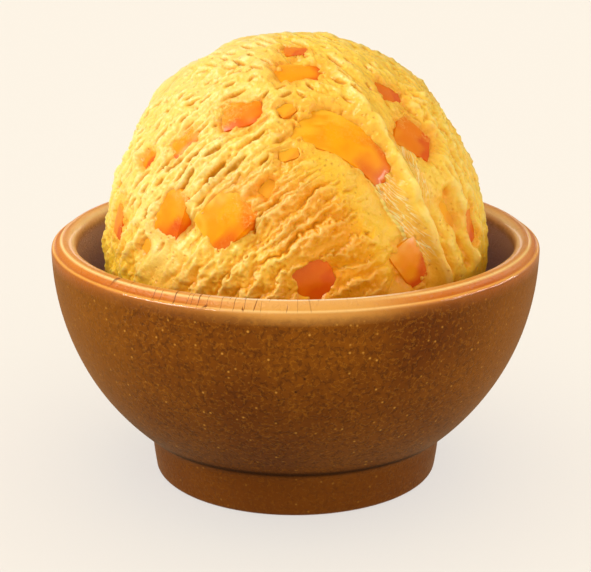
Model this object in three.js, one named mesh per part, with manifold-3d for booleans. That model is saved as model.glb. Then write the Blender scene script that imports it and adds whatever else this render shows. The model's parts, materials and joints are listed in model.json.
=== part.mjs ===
// A footed stoneware bowl with one large scoop of mango ice cream and the fruit pieces set in it.
// Millimetres, +Z up. The origin is the centre of the foot's underside, and the photograph's side faces -Y.
import * as THREE from "three";
import { mergeVertices } from "three/addons/utils/BufferGeometryUtils.js";
import Module from "manifold-3d";

// Driving dimensions of the bowl.
const bowlRadius = 45;
const lipRadius = 2.3; // the rim is a round bead, 4.6 mm thick
const lipHeight = 43.4; // height of the bead's centre, which is also the centre of the body's sphere
const footTopRadius = 28;
const footBaseRadius = 26.6;
const footEdgeRadius = 1.2;
const footRingWidth = 5;
const recessHeight = 3.5; // the underside inside the foot ring
const floorHeight = 8.5; // the inside's lowest point
const innerRoundness = 2.5; // 2 is an ellipse, and more is a flatter floor with a rounder corner
const bowlSides = 52;

// Driving dimensions of the scoop of ice cream.
const scoopRadius = 35.5;
const scoopRise = 39.7; // from its widest level to its top
const scoopDrop = 35.2; // from its widest level down, before the bowl's floor flattens it
const scoopLevel = 43; // height of its widest level
const restGap = 0.35; // clearance between pieces that touch
const footGap = 0.7; // the same where the scoop sits down into the bowl's curve
const scoopDetail = 16; // 20 * (detail + 1)^2 facets
const crowding = 0.6; // the facets' rows draw together by this above the rim
const crowdingFall = 10; // and spread again below it, the faster the higher this is
const frontCrowding = 0.22; // how far facets are drawn round to the front
const pocketReach = 2.2; // how far a fruit piece's pocket opens out past its face

const degrees = Math.PI / 180;
const wasm = await Module();
wasm.setup();

// A closed three.js geometry as a solid.
function solidOf(geometry) {
  const bare = geometry.clone();
  bare.deleteAttribute("normal");
  bare.deleteAttribute("uv");
  const merged = mergeVertices(bare, 1e-4);
  return new wasm.Manifold(
    new wasm.Mesh({
      numProp: 3,
      vertProperties: merged.attributes.position.array,
      triVerts: new Uint32Array(merged.index.array),
    }),
  );
}

// A solid as a three.js geometry.
function geometryOf(solid) {
  const mesh = solid.getMesh();
  const geometry = new THREE.BufferGeometry();
  geometry.setAttribute("position", new THREE.BufferAttribute(mesh.vertProperties, 3));
  geometry.setIndex(new THREE.BufferAttribute(mesh.triVerts, 1));
  geometry.computeVertexNormals();
  return geometry;
}

// A body turned about +Z from a list of [radius, height] points.
function turned(profile, sides) {
  const points = profile.map(([radius, height]) => new THREE.Vector2(radius, height));
  return new THREE.LatheGeometry(points, sides).rotateX(Math.PI / 2);
}

// Points on an arc, angles in degrees from the outward direction.
function arc(centreRadius, centreHeight, radius, from, to, steps) {
  const points = [];
  for (let i = 0; i <= steps; i++) {
    const angle = (from + ((to - from) * i) / steps) * degrees;
    points.push([centreRadius + radius * Math.cos(angle), centreHeight + radius * Math.sin(angle)]);
  }
  return points;
}

const innerReach = bowlRadius - 2 * lipRadius;

// Height of the bowl's inner face at a radius.
function innerHeight(radius) {
  const share = Math.min(1, radius / innerReach) ** innerRoundness;
  return lipHeight - (lipHeight - floorHeight) * (1 - share) ** (1 / innerRoundness);
}

// The bowl's inside, from the rim down to the middle of the floor.
function innerProfile(steps) {
  const points = [];
  for (let i = 0; i < steps; i++) {
    const radius = innerReach * Math.cos((i / steps) * 90 * degrees) ** (2 / innerRoundness);
    points.push([radius, innerHeight(radius)]);
  }
  return [...points, [0, floorHeight]];
}

function bowlGeometry() {
  const bodyStart = -Math.acos(footTopRadius / bowlRadius) / degrees;
  const ringInner = footBaseRadius - footRingWidth;
  const lipCentre = bowlRadius - lipRadius;
  const profile = [
    [0, recessHeight],
    [ringInner, recessHeight],
    [ringInner + 0.6, 0],
    ...arc(footBaseRadius - footEdgeRadius, footEdgeRadius, footEdgeRadius, -90, 0, 2),
    ...arc(0, lipHeight, bowlRadius, bodyStart, 0, 8),
    ...arc(lipCentre, lipHeight, lipRadius, 25, 155, 4),
    ...innerProfile(9),
  ];
  return turned(profile, bowlSides);
}

// The outward direction at an azimuth and a height angle, in degrees. Azimuth 0 is the front, 90 the right.
function directionAt(azimuth, rise) {
  const a = azimuth * degrees;
  const r = rise * degrees;
  return new THREE.Vector3(Math.sin(a) * Math.cos(r), -Math.cos(a) * Math.cos(r), Math.sin(r));
}

// The smooth scoop's surface in a direction, from the scoop's middle.
function smoothScoop(direction) {
  const height = direction.z > 0 ? scoopRise : scoopDrop;
  return new THREE.Vector3(scoopRadius * direction.x, scoopRadius * direction.y, height * direction.z);
}

function smoothStep(low, high, value) {
  const t = Math.min(1, Math.max(0, (value - low) / (high - low)));
  return t * t * (3 - 2 * t);
}

// A slow unevenness from -1 to 1, made of a few waves that cross each other.
function unevenness(point, wavelength) {
  const k = (2 * Math.PI) / wavelength;
  const { x, y, z } = point;
  return (
    (Math.sin(k * (0.83 * x + 0.31 * y - 0.46 * z) + 0.4) +
      Math.sin(k * (-0.42 * x + 0.87 * y + 0.61 * z) + 2.1) +
      Math.sin(k * (0.27 * x - 0.66 * y + 1.12 * z) + 4.4)) /
    3
  );
}

// The scraper's strokes run in circles round a pole, given as azimuth and height angle, one in each zone.
const strokePoles = { left: [36, -36], right: [-48, -27.5], back: [170, -35] };
const strokeReach = 37; // turns an angle from a pole into a length over the scoop

// Where the strokes tore the ice cream into overlapping ledges, full out to one angle and gone by the next.
const ledgePatches = [
  { zone: "left", at: [-6, 8], full: 22, none: 40, pitch: 3.6, depth: 1.5 },
  { zone: "left", at: [-4, 33], full: 14, none: 30, pitch: 2.3, depth: 0.85 },
  { zone: "left", at: [-72, 0], full: 14, none: 32, pitch: 4.4, depth: 1.2 },
  { zone: "left", at: [-62, 48], full: 22, none: 46, pitch: 5.6, depth: 0.8 },
  { zone: "right", at: [76, 30], full: 22, none: 40, pitch: 3.6, depth: 0.9 },
  { zone: "right", at: [62, 62], full: 20, none: 40, pitch: 4.8, depth: 0.5 },
  { zone: "back", at: [122, 22], full: 24, none: 44, pitch: 4.4, depth: 1.5 },
  { zone: "back", at: [-158, 24], full: 26, none: 46, pitch: 4.3, depth: 1.6 },
];
const ledgeRise = 0.2; // the share of a ledge that its steep upper edge takes

// Long folds that run down the scoop, each through points given as azimuth and height angle. Height below 0
// is a groove. The fold with a block drops at its line and fades over its width on its right, and on its left
// the block slopes down to the line.
const folds = [
  {
    name: "seam", width: 6.5, height: -1.7, block: 7.0, slope: 1.2,
    through: [[3, 49], [16, 37.5], [25, 29], [31.5, 17], [38.5, 5], [46, -12]],
  },
  {
    name: "main ridge", width: 1.5, height: 1.3,
    through: [[24, 72], [30, 53], [36, 39], [38.5, 28], [42, 18], [47, 6], [52, -8]],
  },
  { name: "near groove", width: 1.2, height: -1.3, through: [[44, 25], [46.5, 15], [50, 5], [54, -6]] },
  { name: "film valley", width: 2.8, height: -0.6, through: [[40, 46], [44, 34], [46, 22], [50, 10]] },
  {
    name: "third ridge", width: 1.5, height: 1.2,
    through: [[62, 44], [58, 33], [59, 22], [61.5, 10], [64.5, -2]],
  },
  { name: "far groove", width: 1.3, height: -1.4, through: [[54.5, 25], [55.5, 18], [58, 9], [61, 0]] },
  { name: "far ridge", width: 2.2, height: 0.8, through: [[72, 54], [67, 34], [68, 16], [72, 0]] },
  { name: "back groove", width: 1.6, height: -1.5, through: [[150, 66], [166, 46], [172, 24], [170, 2]] },
  { name: "back ridge", width: 2.6, height: 1.3, through: [[136, 64], [156, 48], [163, 26], [161, 4]] },
  {
    name: "left back groove", width: 1.5, height: -1.4,
    through: [[-120, 60], [-116, 38], [-124, 16], [-128, 0]],
  },
  {
    name: "left back ridge", width: 2.4, height: 1.1,
    through: [[-108, 62], [-106, 38], [-113, 16], [-117, 0]],
  },
];

// Each fold as short straight runs over the smooth scoop.
for (const fold of folds) {
  const bends = fold.through.map(([azimuth, rise]) => smoothScoop(directionAt(azimuth, rise)));
  fold.route = new THREE.CatmullRomCurve3(bends).getPoints(6 * (bends.length - 1));
}

// Distance from a point to a fold, on which side it lies (1 is the right), and how far along the fold.
function besideFold(point, outward, route) {
  let best = { distance: Infinity, side: 1, along: 0 };
  for (let i = 0; i < route.length - 1; i++) {
    const run = route[i + 1].clone().sub(route[i]);
    const off = point.clone().sub(route[i]);
    const share = Math.min(1, Math.max(0, off.dot(run) / run.lengthSq()));
    off.addScaledVector(run, -share);
    const distance = off.length();
    if (distance < best.distance) {
      const side = Math.sign(outward.dot(run.cross(off))) || 1;
      best = { distance, side, along: (i + share) / (route.length - 1) };
    }
  }
  return best;
}

function foldRelief(point, outward) {
  let relief = 0;
  for (const fold of folds) {
    const { distance, side, along } = besideFold(point, outward, fold.route);
    const ends = smoothStep(0, 0.12, along) * smoothStep(1, 0.88, along);
    if (fold.block) {
      const behind = smoothStep(0, 0.9, distance) * smoothStep(fold.width, 1.5, distance);
      const before = smoothStep(fold.block, 0.4, distance);
      relief += ends * (side > 0 ? fold.height * behind : -fold.slope * before);
    } else {
      relief += ends * fold.height * Math.exp(-((distance / fold.width) ** 2));
    }
  }
  return relief;
}

// How far each stroke zone rules at a direction, and how far it lies to the right of the seam's plane.
function strokeZones(direction) {
  const beyond = Math.asin(-direction.dot(directionAt(...strokePoles.right))) * strokeReach;
  const back = smoothStep(0.1, 0.5, direction.y);
  const right = (1 - back) * smoothStep(-1, 5, beyond);
  return { shares: { left: 1 - back - right, right, back }, beyond };
}

function ledgeRelief(direction, point) {
  const { shares, beyond } = strokeZones(direction);
  const clear = beyond < 0 ? smoothStep(2.5, 8.5, -beyond) : smoothStep(12, 19, beyond);
  let relief = 0;
  for (const patch of ledgePatches) {
    const away = direction.angleTo(directionAt(...patch.at)) / degrees;
    const share = shares[patch.zone] * clear * smoothStep(patch.none, patch.full, away);
    if (share === 0) continue;
    const across = direction.angleTo(directionAt(...strokePoles[patch.zone])) * strokeReach;
    const turns = 0.42 * unevenness(point, 17) + 0.16 * unevenness(point, 8) - across / patch.pitch;
    const phase = turns - Math.floor(turns);
    const tooth = phase < ledgeRise ? phase / ledgeRise : (1 - phase) / (1 - ledgeRise);
    relief += share * patch.depth * (0.8 + 0.3 * unevenness(point, 23)) * (tooth - 0.45);
  }
  return relief;
}

// Fruit pieces: azimuth and height angle of the middle, half sizes along, across and into the scoop, the turn
// of the long side from level, how far the face stands out, and the hollow that the scraper left round it. A
// notch is a deeper place beside a piece, right and uphill of its middle, where its flank shows.
const fruitPieces = [
  { name: "top", at: [-1, 77], half: [2.3, 1.9, 1.8], turn: 0, proud: 0.0, hollow: 0.6 },
  {
    name: "crown", at: [2, 66], half: [4.6, 2.8, 2.4], turn: 4, proud: -0.2, hollow: 0.8,
    notch: [-0.6, 3.2, 1.3],
  },
  {
    name: "high_left", at: [-24, 49], half: [4.1, 3.0, 2.6], turn: 20, proud: 0.2, hollow: 0.8,
    notch: [2.4, -2.6, 1.2],
  },
  { name: "small_left", at: [-45, 38], half: [3.4, 2.2, 2.0], turn: 52, proud: 0.0, hollow: 0.7 },
  { name: "edge_left", at: [-61, 31], half: [2.1, 1.8, 1.7], turn: 62, proud: -0.1, hollow: 0.8 },
  {
    name: "lens_left", at: [-41, 19], half: [5.2, 3.5, 3.2], turn: 74, proud: 0.5, hollow: 0.8,
    notch: [3.6, -1.5, 1.7],
  },
  { name: "low_left", at: [-67, 12], half: [3.1, 2.1, 2.0], turn: 84, proud: 0.1, hollow: 0.8 },
  { name: "crumb_left", at: [-50, 9], half: [1.6, 1.3, 1.4], turn: 60, proud: -0.2, hollow: 0.8 },
  {
    name: "big_left", at: [-21.5, 20], half: [5.8, 4.6, 4.0], turn: 48, proud: 0.5, hollow: 0.9,
    notch: [5.2, -2.6, 2.3],
  },
  { name: "sliver", at: [-9.4, 28.6], half: [1.9, 1.2, 1.4], turn: 66, proud: -0.2, hollow: 0.9 },
  { name: "seam_crumb", at: [-4, 51], half: [1.6, 1.3, 1.4], turn: 30, proud: -0.2, hollow: 0.8 },
  { name: "fleck", at: [-2.5, 37.5], half: [2.0, 1.1, 1.3], turn: 14, proud: -0.2, hollow: 0.6 },
  {
    name: "great", at: [20, 39.5], half: [9.9, 4.0, 4.0], turn: -43, proud: 0.7, hollow: 0.3,
    taper: 0.24, bend: 24, bow: 2.2,
  },
  { name: "high_right", at: [53.5, 53.5], half: [2.8, 2.3, 2.2], turn: -30, proud: 0.0, hollow: 1.0 },
  { name: "frosted", at: [50.5, 39], half: [4.6, 3.8, 3.2], turn: -48, proud: 0.2, hollow: 1.0 },
  { name: "groove_sliver", at: [54.5, 17], half: [2.8, 1.3, 1.5], turn: -68, proud: 0.2, hollow: 0.4 },
  {
    name: "front", at: [5.5, 5.0], half: [3.9, 3.7, 3.2], turn: 35, proud: 0.0, hollow: 0.8,
    notch: [3.6, 3.0, 1.4],
  },
  {
    name: "low_right", at: [36.5, 6.5], half: [4.9, 3.3, 3.2], turn: -62, proud: 0.3, hollow: 0.6,
    notch: [-3.4, -2.0, 1.3],
  },
  { name: "edge_right", at: [65, 11], half: [3.4, 2.3, 2.2], turn: -76, proud: 0.1, hollow: 0.8 },
  { name: "side_right", at: [93, 34], half: [3.8, 2.6, 2.6], turn: -40, proud: 0.2, hollow: 0.8 },
  {
    name: "back_right", at: [124, 12], half: [4.4, 3.4, 3.2], turn: 24, proud: 0.4, hollow: 0.8,
    notch: [3.6, -1.5, 1.5],
  },
  { name: "back_high", at: [142, 46], half: [4.8, 3.0, 2.8], turn: -30, proud: 0.2, hollow: 0.9 },
  {
    name: "back", at: [-176, 20], half: [5.4, 4.0, 3.6], turn: 58, proud: 0.5, hollow: 0.8,
    notch: [4.0, -2.8, 1.7],
  },
  { name: "back_left", at: [-143, 40], half: [3.6, 2.6, 2.4], turn: 16, proud: 0.1, hollow: 0.8 },
  { name: "side_back", at: [-136, 8], half: [3.0, 2.4, 2.4], turn: 70, proud: 0.1, hollow: 0.8 },
  {
    name: "side_left", at: [-96, 30], half: [4.2, 3.0, 2.8], turn: -52, proud: 0.3, hollow: 0.8,
    notch: [3.0, -1.6, 1.3],
  },
];
const notchReach = 2.6;
const fruitRoundness = 0.36; // how far a piece is worn from a box towards a ball
const faceCut = 1.3; // and how far its outer face is cut back flat again

// The outward face direction of the smooth scoop.
function faceDirection(direction) {
  const height = direction.z > 0 ? scoopRise : scoopDrop;
  return new THREE.Vector3(
    direction.x / scoopRadius,
    direction.y / scoopRadius,
    direction.z / height,
  ).normalize();
}

// Level to the right over the scoop, uphill over it, and straight out of it.
function tangents(direction) {
  const outward = faceDirection(direction);
  const level = new THREE.Vector3(0, 0, 1).cross(outward).normalize();
  return { level, uphill: outward.clone().cross(level), outward };
}

// The hollow round each fruit piece, and its notch.
function hollowRelief(point) {
  let relief = 0;
  for (const piece of fruitPieces) {
    const direction = directionAt(...piece.at);
    const middle = smoothScoop(direction);
    const reach = 1.15 * Math.max(piece.half[0], piece.half[1]);
    relief -= piece.hollow * Math.exp(-((point.distanceTo(middle) / reach) ** 2));
    if (piece.notch) {
      const [right, up, depth] = piece.notch;
      const { level, uphill } = tangents(direction);
      const beside = middle.addScaledVector(level, right).addScaledVector(uphill, up);
      relief -= depth * Math.exp(-((point.distanceTo(beside) / notchReach) ** 2));
    }
  }
  return relief;
}

// How far the real surface stands off the smooth scoop, fading out where the bowl hides it.
function reliefAt(direction) {
  const point = smoothScoop(direction);
  const outward = faceDirection(direction);
  const shown = smoothStep(-0.42, -0.12, direction.z);
  const lumps = 0.35 * unevenness(point, 14) + 0.25 * unevenness(point, 29) - 0.3;
  const scraped = ledgeRelief(direction, point) + foldRelief(point, outward);
  return shown * scraped + hollowRelief(point) + lumps;
}

function surfacePoint(direction) {
  return smoothScoop(direction).addScaledVector(faceDirection(direction), reliefAt(direction));
}

function scoopGeometry() {
  const geometry = mergeVertices(bareSphere(), 1e-5);
  const position = geometry.getAttribute("position");
  const direction = new THREE.Vector3();
  for (let i = 0; i < position.count; i++) {
    direction.fromBufferAttribute(position, i);
    const placed = surfacePoint(crowded(direction));
    const lowest = innerHeight(Math.hypot(placed.x, placed.y)) + footGap;
    position.setXYZ(i, placed.x, placed.y, Math.max(placed.z + scoopLevel, lowest));
  }
  return geometry;
}

// A direction moved up the sphere, so that more of the facets lie where the scoop shows.
function crowded(direction) {
  const share = Math.min(1, (1 - direction.z) / 2);
  const z = 1 - 2 * (crowding * share + (1 - crowding) * share ** crowdingFall);
  const girth = Math.sqrt(Math.max(0, 1 - z * z));
  const azimuth = Math.atan2(direction.x, -direction.y);
  const turned = azimuth - frontCrowding * Math.sin(azimuth);
  return new THREE.Vector3(girth * Math.sin(turned), -girth * Math.cos(turned), z);
}

function bareSphere() {
  const sphere = new THREE.IcosahedronGeometry(1, scoopDetail);
  sphere.deleteAttribute("normal");
  sphere.deleteAttribute("uv");
  return sphere;
}

// Draws from 0 to 1 that are the same on every run.
function seededDraws(seed) {
  let state = seed;
  return () => {
    state = (Math.imul(state, 1664525) + 1013904223) >>> 0;
    return state / 4294967296;
  };
}

// A cut chunk of mango: a box with soft corners, each corner pushed a little, narrower at one end. It was cut
// flush with the scoop, so it curves with it, or more by a bend of its own, and a bow curves its long sides.
// Its pocket is larger by a margin, and open outwards by a reach.
function fruitGeometry(piece, index, margin = 0, reach = 0) {
  const draw = seededDraws(97 + 31 * index);
  const [long, wide, deep] = piece.half.map((half) => half + margin);
  const cuts = Math.max(...piece.half) > 4.5 ? 3 : 2;
  const box = new THREE.BoxGeometry(2, 2, 2, cuts, cuts, cuts);
  const corners = Array.from({ length: 8 }, () => 0.84 + 0.16 * draw());
  const taper = piece.taper ?? 0.1 + 0.16 * draw();
  const bend = piece.bend ?? scoopRadius;
  const bow = piece.bow ?? 0;
  const position = box.getAttribute("position");
  const p = new THREE.Vector3();
  for (let i = 0; i < position.count; i++) {
    p.fromBufferAttribute(position, i);
    const round = p.clone().normalize().multiplyScalar(1.22);
    const size = p.clone();
    let push = 0;
    for (let c = 0; c < 8; c++) {
      const shareX = c & 1 ? 1 + size.x : 1 - size.x;
      const shareY = c & 2 ? 1 + size.y : 1 - size.y;
      const shareZ = c & 4 ? 1 + size.z : 1 - size.z;
      push += (corners[c] * shareX * shareY * shareZ) / 8;
    }
    p.lerp(round, fruitRoundness).multiplyScalar(push);
    const x = p.x * long;
    const y = p.y * wide * (1 - taper * p.x) + bow * (0.5 - p.x ** 2);
    const drop = (x * x + y * y) / (2 * bend);
    const z = Math.min(p.z * faceCut, 1) * deep - drop;
    position.setXYZ(i, x, y, z + reach * Math.max(0, p.z));
  }
  return box;
}

// Places a fruit piece in the scoop's surface: its long side turned from level, its face outwards.
function fruitPlace(piece) {
  const direction = directionAt(...piece.at);
  const { level, uphill, outward } = tangents(direction);
  const turn = piece.turn * degrees;
  const along = level.clone().multiplyScalar(Math.cos(turn)).addScaledVector(uphill, Math.sin(turn));
  const across = outward.clone().cross(along);
  const middle = surfacePoint(direction).addScaledVector(outward, piece.proud - piece.half[2]);
  middle.z += scoopLevel;
  return new THREE.Matrix4().makeBasis(along, across, outward).setPosition(middle);
}

function finish(colour, roughness) {
  return new THREE.MeshStandardMaterial({ color: colour, roughness, metalness: 0 });
}

const group = new THREE.Group();

function add(name, geometry, material) {
  const mesh = new THREE.Mesh(geometry, material);
  mesh.name = name;
  group.add(mesh);
  return mesh;
}

add("bowl", bowlGeometry(), finish(0x8a5214, 0.3));

let scoop = solidOf(scoopGeometry());
fruitPieces.forEach((piece, index) => {
  const place = fruitPlace(piece);
  const pocket = fruitGeometry(piece, index, restGap, pocketReach).applyMatrix4(place);
  scoop = scoop.subtract(solidOf(pocket));
  const mesh = add("fruit_" + piece.name, fruitGeometry(piece, index), finish(0xf28c14, 0.35));
  mesh.applyMatrix4(place);
});
const largest = scoop.decompose().sort((a, b) => b.volume() - a.volume())[0];
add("ice_cream", geometryOf(largest), finish(0xf6c552, 0.55));

export default group;
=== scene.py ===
# Looks for a scoop of mango ice cream in a small stoneware bowl. Metres, +Z up, the shown side faces -Y.
import json
import math

import bpy
import numpy as np
from mathutils import Matrix, Vector, noise

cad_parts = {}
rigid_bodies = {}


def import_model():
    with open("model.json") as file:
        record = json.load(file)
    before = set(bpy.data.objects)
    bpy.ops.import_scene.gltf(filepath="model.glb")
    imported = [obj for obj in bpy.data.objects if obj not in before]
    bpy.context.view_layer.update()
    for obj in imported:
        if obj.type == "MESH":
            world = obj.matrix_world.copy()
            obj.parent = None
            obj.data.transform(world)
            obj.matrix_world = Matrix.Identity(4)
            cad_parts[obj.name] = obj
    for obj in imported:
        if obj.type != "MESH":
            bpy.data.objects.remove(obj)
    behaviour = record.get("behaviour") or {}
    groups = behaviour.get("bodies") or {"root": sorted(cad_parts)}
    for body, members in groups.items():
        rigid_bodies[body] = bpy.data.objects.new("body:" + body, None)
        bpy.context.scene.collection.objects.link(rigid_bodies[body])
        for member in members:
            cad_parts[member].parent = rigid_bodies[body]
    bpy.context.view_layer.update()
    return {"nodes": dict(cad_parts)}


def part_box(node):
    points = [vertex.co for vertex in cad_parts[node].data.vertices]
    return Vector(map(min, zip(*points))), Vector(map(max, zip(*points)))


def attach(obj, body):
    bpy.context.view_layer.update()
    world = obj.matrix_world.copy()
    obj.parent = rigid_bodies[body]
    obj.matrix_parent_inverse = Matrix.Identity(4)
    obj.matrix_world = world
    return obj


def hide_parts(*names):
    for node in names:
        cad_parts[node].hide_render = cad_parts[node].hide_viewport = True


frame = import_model()
mm = 0.001
degrees = math.pi / 180
print("frame loaded:", len(frame["nodes"]), "nodes")


# small helpers

def deselectAll():
    if bpy.context.object and bpy.context.object.mode == "EDIT":
        bpy.ops.object.mode_set(mode="OBJECT")
    bpy.ops.object.select_all(action="DESELECT")


def makeActive(piece):
    deselectAll()
    piece.select_set(True)
    bpy.context.view_layer.objects.active = piece


def applyAll(piece):
    makeActive(piece)
    for modifier in list(piece.modifiers):
        bpy.ops.object.modifier_apply(modifier=modifier.name)


def settle(piece):  # the place goes into the mesh, the object to the origin
    makeActive(piece)
    bpy.ops.object.transform_apply(location=True, rotation=True, scale=True)


def readPoints(piece):
    flat = np.empty(len(piece.data.vertices) * 3)
    piece.data.vertices.foreach_get("co", flat)
    return flat.reshape(-1, 3)


def writePoints(piece, points):
    piece.data.vertices.foreach_set("co", np.ascontiguousarray(points, dtype=np.float32).ravel())
    piece.data.update()


def paint(piece, name, values):  # one number for each vertex, read by the materials
    layer = piece.data.attributes.new(name, "FLOAT", "POINT")
    values = np.broadcast_to(values, len(piece.data.vertices))
    layer.data.foreach_set("value", np.ascontiguousarray(values, dtype=np.float32))


def shadeSmooth(piece, angle=None):
    makeActive(piece)
    if angle is None:
        bpy.ops.object.shade_smooth()
    else:
        bpy.ops.object.shade_smooth_by_angle(angle=angle * degrees)


def smoothStep(low, high, value):
    t = np.clip((value - low) / (high - low), 0, 1)
    return t * t * (3 - 2 * t)


def blotches(points, size, seed, octaves=1):  # smooth noise, about -1 to 1, size in the points' own unit
    shift = Vector((seed * 7.31, seed * 3.17, seed * 5.23))  # each seed has its own part of the noise
    if octaves == 1:
        return np.array([noise.noise(Vector(p) + shift) for p in points / size]) * 1.6
    return np.array([noise.fractal(Vector(p) + shift, 0.8, 2.1, octaves) for p in points / size]) * 1.3


# materials

def newNode(tree, kind, place, **settings):
    made = tree.nodes.new("ShaderNode" + kind)
    made.location = place
    for key, value in settings.items():
        setattr(made, key, value)
    return made


def setInputs(made, **values):
    for key, value in values.items():
        made.inputs[key.replace("_", " ")].default_value = value
    return made


def newGroup(name, inputs, outputs):
    group = bpy.data.node_groups.new(name, "ShaderNodeTree")
    for label, kind, value in inputs:
        socket = group.interface.new_socket(label, in_out="INPUT", socket_type="NodeSocket" + kind)
        if value is not None:
            socket.default_value = value
    for label, kind in outputs:
        group.interface.new_socket(label, in_out="OUTPUT", socket_type="NodeSocket" + kind)
    start = group.nodes.new("NodeGroupInput")
    end = group.nodes.new("NodeGroupOutput")
    start.location = (-900, 0)
    end.location = (500, 0)
    return group, start, end


def placeGroup(tree, group, place, **values):
    made = tree.nodes.new("ShaderNodeGroup")
    made.node_tree = group
    made.location = place
    return setInputs(made, **values)


def mixColours(tree, place, factor, first, second):
    made = newNode(tree, "Mix", place, data_type="RGBA")
    for socket, source in ((made.inputs[0], factor), (made.inputs[6], first), (made.inputs[7], second)):
        if isinstance(source, bpy.types.NodeSocket):
            tree.links.new(source, socket)
        else:
            socket.default_value = source
    return made.outputs[2]


def colour(red, green, blue):  # screen values from 0 to 255, as linear light
    def linear(value):
        value = value / 255
        return value / 12.92 if value <= 0.04045 else ((value + 0.055) / 1.055) ** 2.4
    return (linear(red), linear(green), linear(blue), 1)


def speckGroup():  # scattered round specks, one in a share of the cells
    group, start, end = newGroup(
        "scatteredSpecks",
        [
            ("Vector", "Vector", None), ("Scale", "Float", 800.0), ("Size", "Float", 0.25),
            ("Share", "Float", 0.3),
        ],
        [("Mask", "Float")],
    )
    cells = newNode(group, "TexVoronoi", (-650, 100), feature="F1")
    pick = newNode(group, "SeparateColor", (-450, -50))
    chosen = newNode(group, "Math", (-250, -50), operation="LESS_THAN")
    near = newNode(group, "MapRange", (-250, 200), interpolation_type="SMOOTHSTEP")
    both = newNode(group, "Math", (100, 100), operation="MULTIPLY")
    setInputs(near, From_Min=0.0, To_Min=1.0, To_Max=0.0)
    link = group.links.new
    link(start.outputs["Vector"], cells.inputs["Vector"])
    link(start.outputs["Scale"], cells.inputs["Scale"])
    link(cells.outputs["Color"], pick.inputs["Color"])
    link(pick.outputs["Red"], chosen.inputs[0])
    link(start.outputs["Share"], chosen.inputs[1])
    link(cells.outputs["Distance"], near.inputs["Value"])
    link(start.outputs["Size"], near.inputs["From Max"])
    link(near.outputs["Result"], both.inputs[0])
    link(chosen.outputs[0], both.inputs[1])
    link(both.outputs[0], end.inputs["Mask"])
    return group


def mottleGroup():  # soft cloudy patches, from 0 to 1
    group, start, end = newGroup(
        "cloudyMottle",
        [
            ("Vector", "Vector", None), ("Scale", "Float", 200.0), ("Detail", "Float", 3.0),
            ("Low", "Float", 0.35), ("High", "Float", 0.65),
        ],
        [("Value", "Float")],
    )
    cloud = newNode(group, "TexNoise", (-600, 100))
    spread = newNode(group, "MapRange", (-200, 100), interpolation_type="SMOOTHSTEP")
    link = group.links.new
    link(start.outputs["Vector"], cloud.inputs["Vector"])
    link(start.outputs["Scale"], cloud.inputs["Scale"])
    link(start.outputs["Detail"], cloud.inputs["Detail"])
    link(cloud.outputs["Fac"], spread.inputs["Value"])
    link(start.outputs["Low"], spread.inputs["From Min"])
    link(start.outputs["High"], spread.inputs["From Max"])
    link(spread.outputs["Result"], end.inputs["Value"])
    return group


def crinkleGroup():  # short curved hairlines along the borders of wavy cells
    group, start, end = newGroup(
        "shortCrinkles",
        [
            ("Vector", "Vector", None), ("Scale", "Float", 500.0), ("Width", "Float", 0.08),
            ("Warp", "Float", 0.6), ("Share", "Float", 0.5),
        ],
        [("Mask", "Float")],
    )
    size = newNode(group, "VectorMath", (-700, 100), operation="SCALE")
    wander = newNode(group, "TexNoise", (-700, -150))
    bend = newNode(group, "VectorMath", (-500, -150), operation="SCALE")
    bent = newNode(group, "VectorMath", (-350, 50), operation="ADD")
    cells = newNode(group, "TexVoronoi", (-200, 50), feature="DISTANCE_TO_EDGE")
    line = newNode(group, "MapRange", (0, 50), interpolation_type="SMOOTHSTEP")
    gaps = newNode(group, "TexNoise", (-200, -250))
    kept = newNode(group, "Math", (0, -250), operation="LESS_THAN")
    both = newNode(group, "Math", (250, 0), operation="MULTIPLY")
    setInputs(wander, Scale=1.3, Detail=1.0)
    setInputs(cells, Scale=1.0)
    setInputs(line, From_Min=0.0, To_Min=1.0, To_Max=0.0)
    setInputs(gaps, Scale=1.9, Detail=0.0)
    link = group.links.new
    link(start.outputs["Vector"], size.inputs[0])
    link(start.outputs["Scale"], size.inputs["Scale"])
    link(size.outputs[0], wander.inputs["Vector"])
    link(wander.outputs["Color"], bend.inputs[0])
    link(start.outputs["Warp"], bend.inputs["Scale"])
    link(size.outputs[0], bent.inputs[0])
    link(bend.outputs[0], bent.inputs[1])
    link(bent.outputs[0], cells.inputs["Vector"])
    link(cells.outputs["Distance"], line.inputs["Value"])
    link(start.outputs["Width"], line.inputs["From Max"])
    link(size.outputs[0], gaps.inputs["Vector"])
    link(gaps.outputs["Fac"], kept.inputs[0])
    link(start.outputs["Share"], kept.inputs[1])
    link(line.outputs["Result"], both.inputs[0])
    link(kept.outputs[0], both.inputs[1])
    link(both.outputs[0], end.inputs["Mask"])
    return group


specks = speckGroup()
mottle = mottleGroup()
crinkles = crinkleGroup()


def newMaterial(name):
    material = bpy.data.materials.new(name)
    material.use_nodes = True
    tree = material.node_tree
    shader = tree.nodes["Principled BSDF"]
    shader.location = (700, 0)
    tree.nodes["Material Output"].location = (1000, 0)
    place = newNode(tree, "TexCoord", (-1500, 0))
    return material, tree, shader, place.outputs["Object"]


def readPaint(tree, name, place):
    return newNode(tree, "Attribute", place, attribute_type="GEOMETRY", attribute_name=name).outputs["Fac"]


def mathNode(tree, place, operation, first, second):
    made = newNode(tree, "Math", place, operation=operation)
    for socket, source in zip(made.inputs, (first, second)):
        if isinstance(source, bpy.types.NodeSocket):
            tree.links.new(source, socket)
        else:
            socket.default_value = source
    return made.outputs[0]


def scaled(tree, place, source, amount):
    return mathNode(tree, place, "MULTIPLY", source, amount)


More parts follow.
